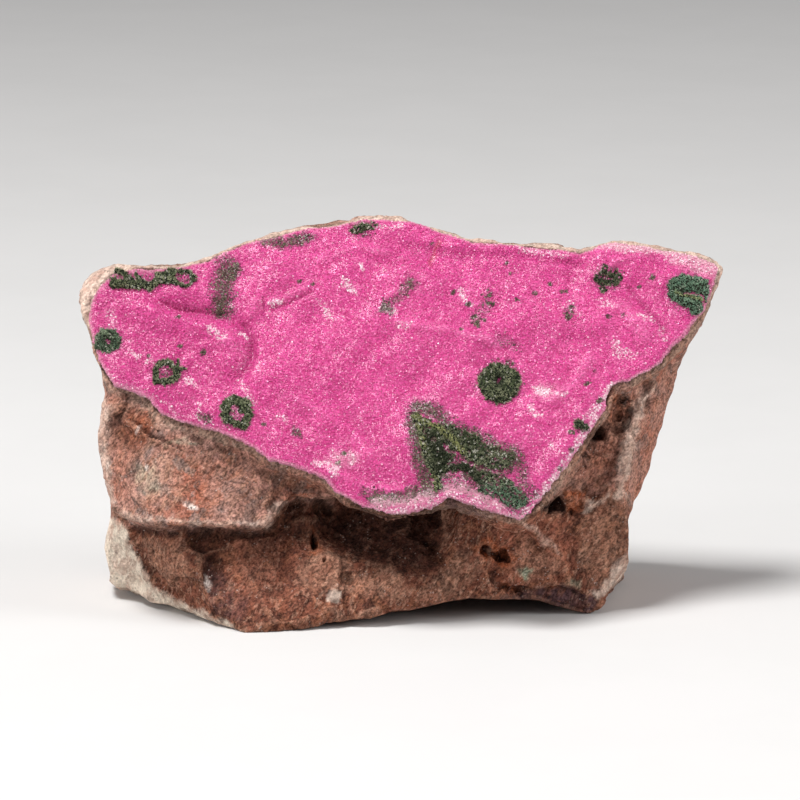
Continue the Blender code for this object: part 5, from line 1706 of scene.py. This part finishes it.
def makeMound(paint):
    # the growth's body: a thin sheet of the painted shape that stands out of the crust
    corners = [p for line, _ in paint.get("strokes", []) for p in line]
    corners += [p for outline in paint.get("areas", []) for p in outline]
    reach = max([radius for _, radius in paint.get("strokes", [])], default=0) + mounds["margin"]
    low, high = np.min(corners, 0) - reach, np.max(corners, 0) + reach
    counts = np.ceil((high - low) / mounds["cell"]).astype(int)
    bm = bmesh.new()
    bmesh.ops.create_grid(bm, x_segments=int(counts[0]), y_segments=int(counts[1]), size=1)
    places = low + (np.array([v.co.xy for v in bm.verts]) + 1) / 2 * (high - low)
    depth = growthDepth(paint, places)
    bm.verts.ensure_lookup_table()
    bmesh.ops.delete(bm, geom=[bm.verts[i] for i in np.flatnonzero(depth < 0)], context="VERTS")
    places, depth = places[depth >= 0], depth[depth >= 0]
    rise = 1 - np.exp(-depth / mounds["rise"])
    lift = paint["height"] * rise * (1 - 1.2 * bareShare(paint, places))
    lift += sum(high * noiseAt(flat3(places), size, seed) for size, high, seed in mounds["rough"])
    surface = crustSurface(places)
    tops = facePoints(places, surface + np.maximum(lift, mounds["least"]))
    feet = facePoints(places, surface - mounds["foot"])
    layer = bm.verts.layers.int.new("order")
    for i, vert in enumerate(bm.verts):
        vert[layer] = i
        vert.co = feet[i]
    loose = [v for v in bm.verts if len(v.link_faces) == 0]
    bmesh.ops.delete(bm, geom=loose, context="VERTS")
    made = bmesh.ops.extrude_face_region(bm, geom=bm.faces[:])["geom"]
    for vert in made:
        if isinstance(vert, bmesh.types.BMVert):
            vert.co = tops[vert[layer]]
    bmesh.ops.recalc_face_normals(bm, faces=bm.faces)
    putInOrder(bm)
    return pieceFrom(paint["name"], bm)


def makeGrowth(node, paint, shape):
    mound = makeMound(paint)
    mesh = mound.data
    points = pointsOf(mesh)
    places, out = facePlaces(points)
    # the needles lean out from the middle of their growth
    along = places - places.mean(0)
    along /= np.maximum(np.hypot(*along.T), 0.5)[:, None]
    wander = np.stack([noiseAt(flat3(places), *wave) for wave in mounds["wander"]], 1)
    along = mounds["fromMiddle"] * along + mounds["anyWay"] * wander
    towards = np.outer(along[:, 1], faceUp) + faceOut
    towards[:, 0] += along[:, 0]
    markVector(mesh, "lean", towards)
    isTop = normalsOf(mesh) @ faceOut > 0.2
    mark(mesh, "grow", isTop)
    mark(mesh, "tone", np.full(len(points), mounds["tone"]))
    mark(mesh, "pale", np.full(len(points), paint.get("pale", 0.0)))
    yellow = linesAt(paint.get("yellow", []), places, outer=1.3, inner=0, core=0.1)
    mark(mesh, "yellow", yellow)
    # deep: the dark green of the growths' cores, and painted shade in their hollows
    mark(mesh, "deep", linesAt(paint.get("deep", []), places, inner=0.4) * (1 - yellow))
    blue = np.full(len(points), paint.get("blue", 0.0))
    if "blueBelow" in paint:
        blue = np.maximum(blue, mounds["blueBelow"] * ramp(places[:, 1], *paint["blueBelow"]))
    mark(mesh, "blue", blue)
    tufts = scatter(paint["name"] + "Tufts", mound, shape, tuft)
    # the mound under the needles takes the near-black of their feet: painted shade between them
    mark(mesh, "tip", np.zeros(len(points)))
    bm = bmesh.new()
    bm.from_mesh(mound.data)
    bm.from_mesh(tufts.data)
    bm.to_mesh(mound.data)
    bm.free()
    bpy.data.objects.remove(tufts)
    movePoints(mound.data, keepInBox(pointsOf(mound.data)))
    shade(mound, False)
    wear(mound, fibrousMalachite)
    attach(mound, "root")
    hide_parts(node)
    return mound


for node, paint in growths.items():
    growth = makeGrowth(node, paint, tuftShape)
    print(growth.name, "made:", len(growth.data.polygons), "faces")
for shape in (pointShape, rhombShape, beadShape, tuftShape):
    bpy.data.objects.remove(shape)


# floor, light and camera

studio = {
    "floor": (0.62, 0.61, 0.60), "room": (0.90, 0.90, 0.92), "roomLight": 0.27,
    "radius": 6, "fibre": 0.985,
    # place, size and power of each soft light
    "lights": [
        ((-0.42, -0.36, 1.3), 0.5, 23), ((1.15, -0.35, 0.5), 0.6, 9),
        ((-1.15, -0.5, 0.35), 0.6, 7)],
}


def makeFloor():
    bm = bmesh.new()
    bmesh.ops.create_circle(bm, cap_ends=True, segments=96, radius=studio["radius"])
    floor = pieceFrom("floor", bm)
    material, tree, shader, place = newMaterial("palePaper")
    fibres = cloudMask(tree, place, 40, 1)
    low = tuple(studio["fibre"] * tone for tone in studio["floor"])
    put(tree, shader.inputs["Base Color"], blend(tree, fibres, low, studio["floor"]))
    shader.inputs["Roughness"].default_value = 0.9
    wear(floor, material)


def makeLights():
    for i, (place, size, power) in enumerate(studio["lights"]):
        light = bpy.data.lights.new("softLight" + str(i + 1), "AREA")
        light.shape = "DISK"
        light.size = size
        light.energy = power
        lamp = bpy.data.objects.new(light.name, light)
        lamp.location = place
        towards = Vector(camera["aim"]) * mm - Vector(place)
        lamp.rotation_euler = towards.to_track_quat("-Z", "Y").to_euler()
        scene.collection.objects.link(lamp)
    room = bpy.data.worlds.new("room")
    room.use_nodes = True
    air = room.node_tree.nodes["Background"]
    air.inputs["Color"].default_value = (*studio["room"], 1)
    air.inputs["Strength"].default_value = studio["roomLight"]
    scene.world = room


def makeCamera():
    lens = bpy.data.cameras.new("camera")
    lens.lens = camera["lens"]
    lens.sensor_width = camera["sensor"]
    eye = bpy.data.objects.new("camera", lens)
    eye.location = (aim + sightOut * camera["away"]) * mm
    eye.rotation_euler = (-Vector(sightOut)).to_track_quat("-Z", "Y").to_euler()
    scene.collection.objects.link(eye)
    scene.camera = eye


makeFloor()
makeLights()
makeCamera()
scene.view_settings.view_transform = "Standard"
print("studio made")
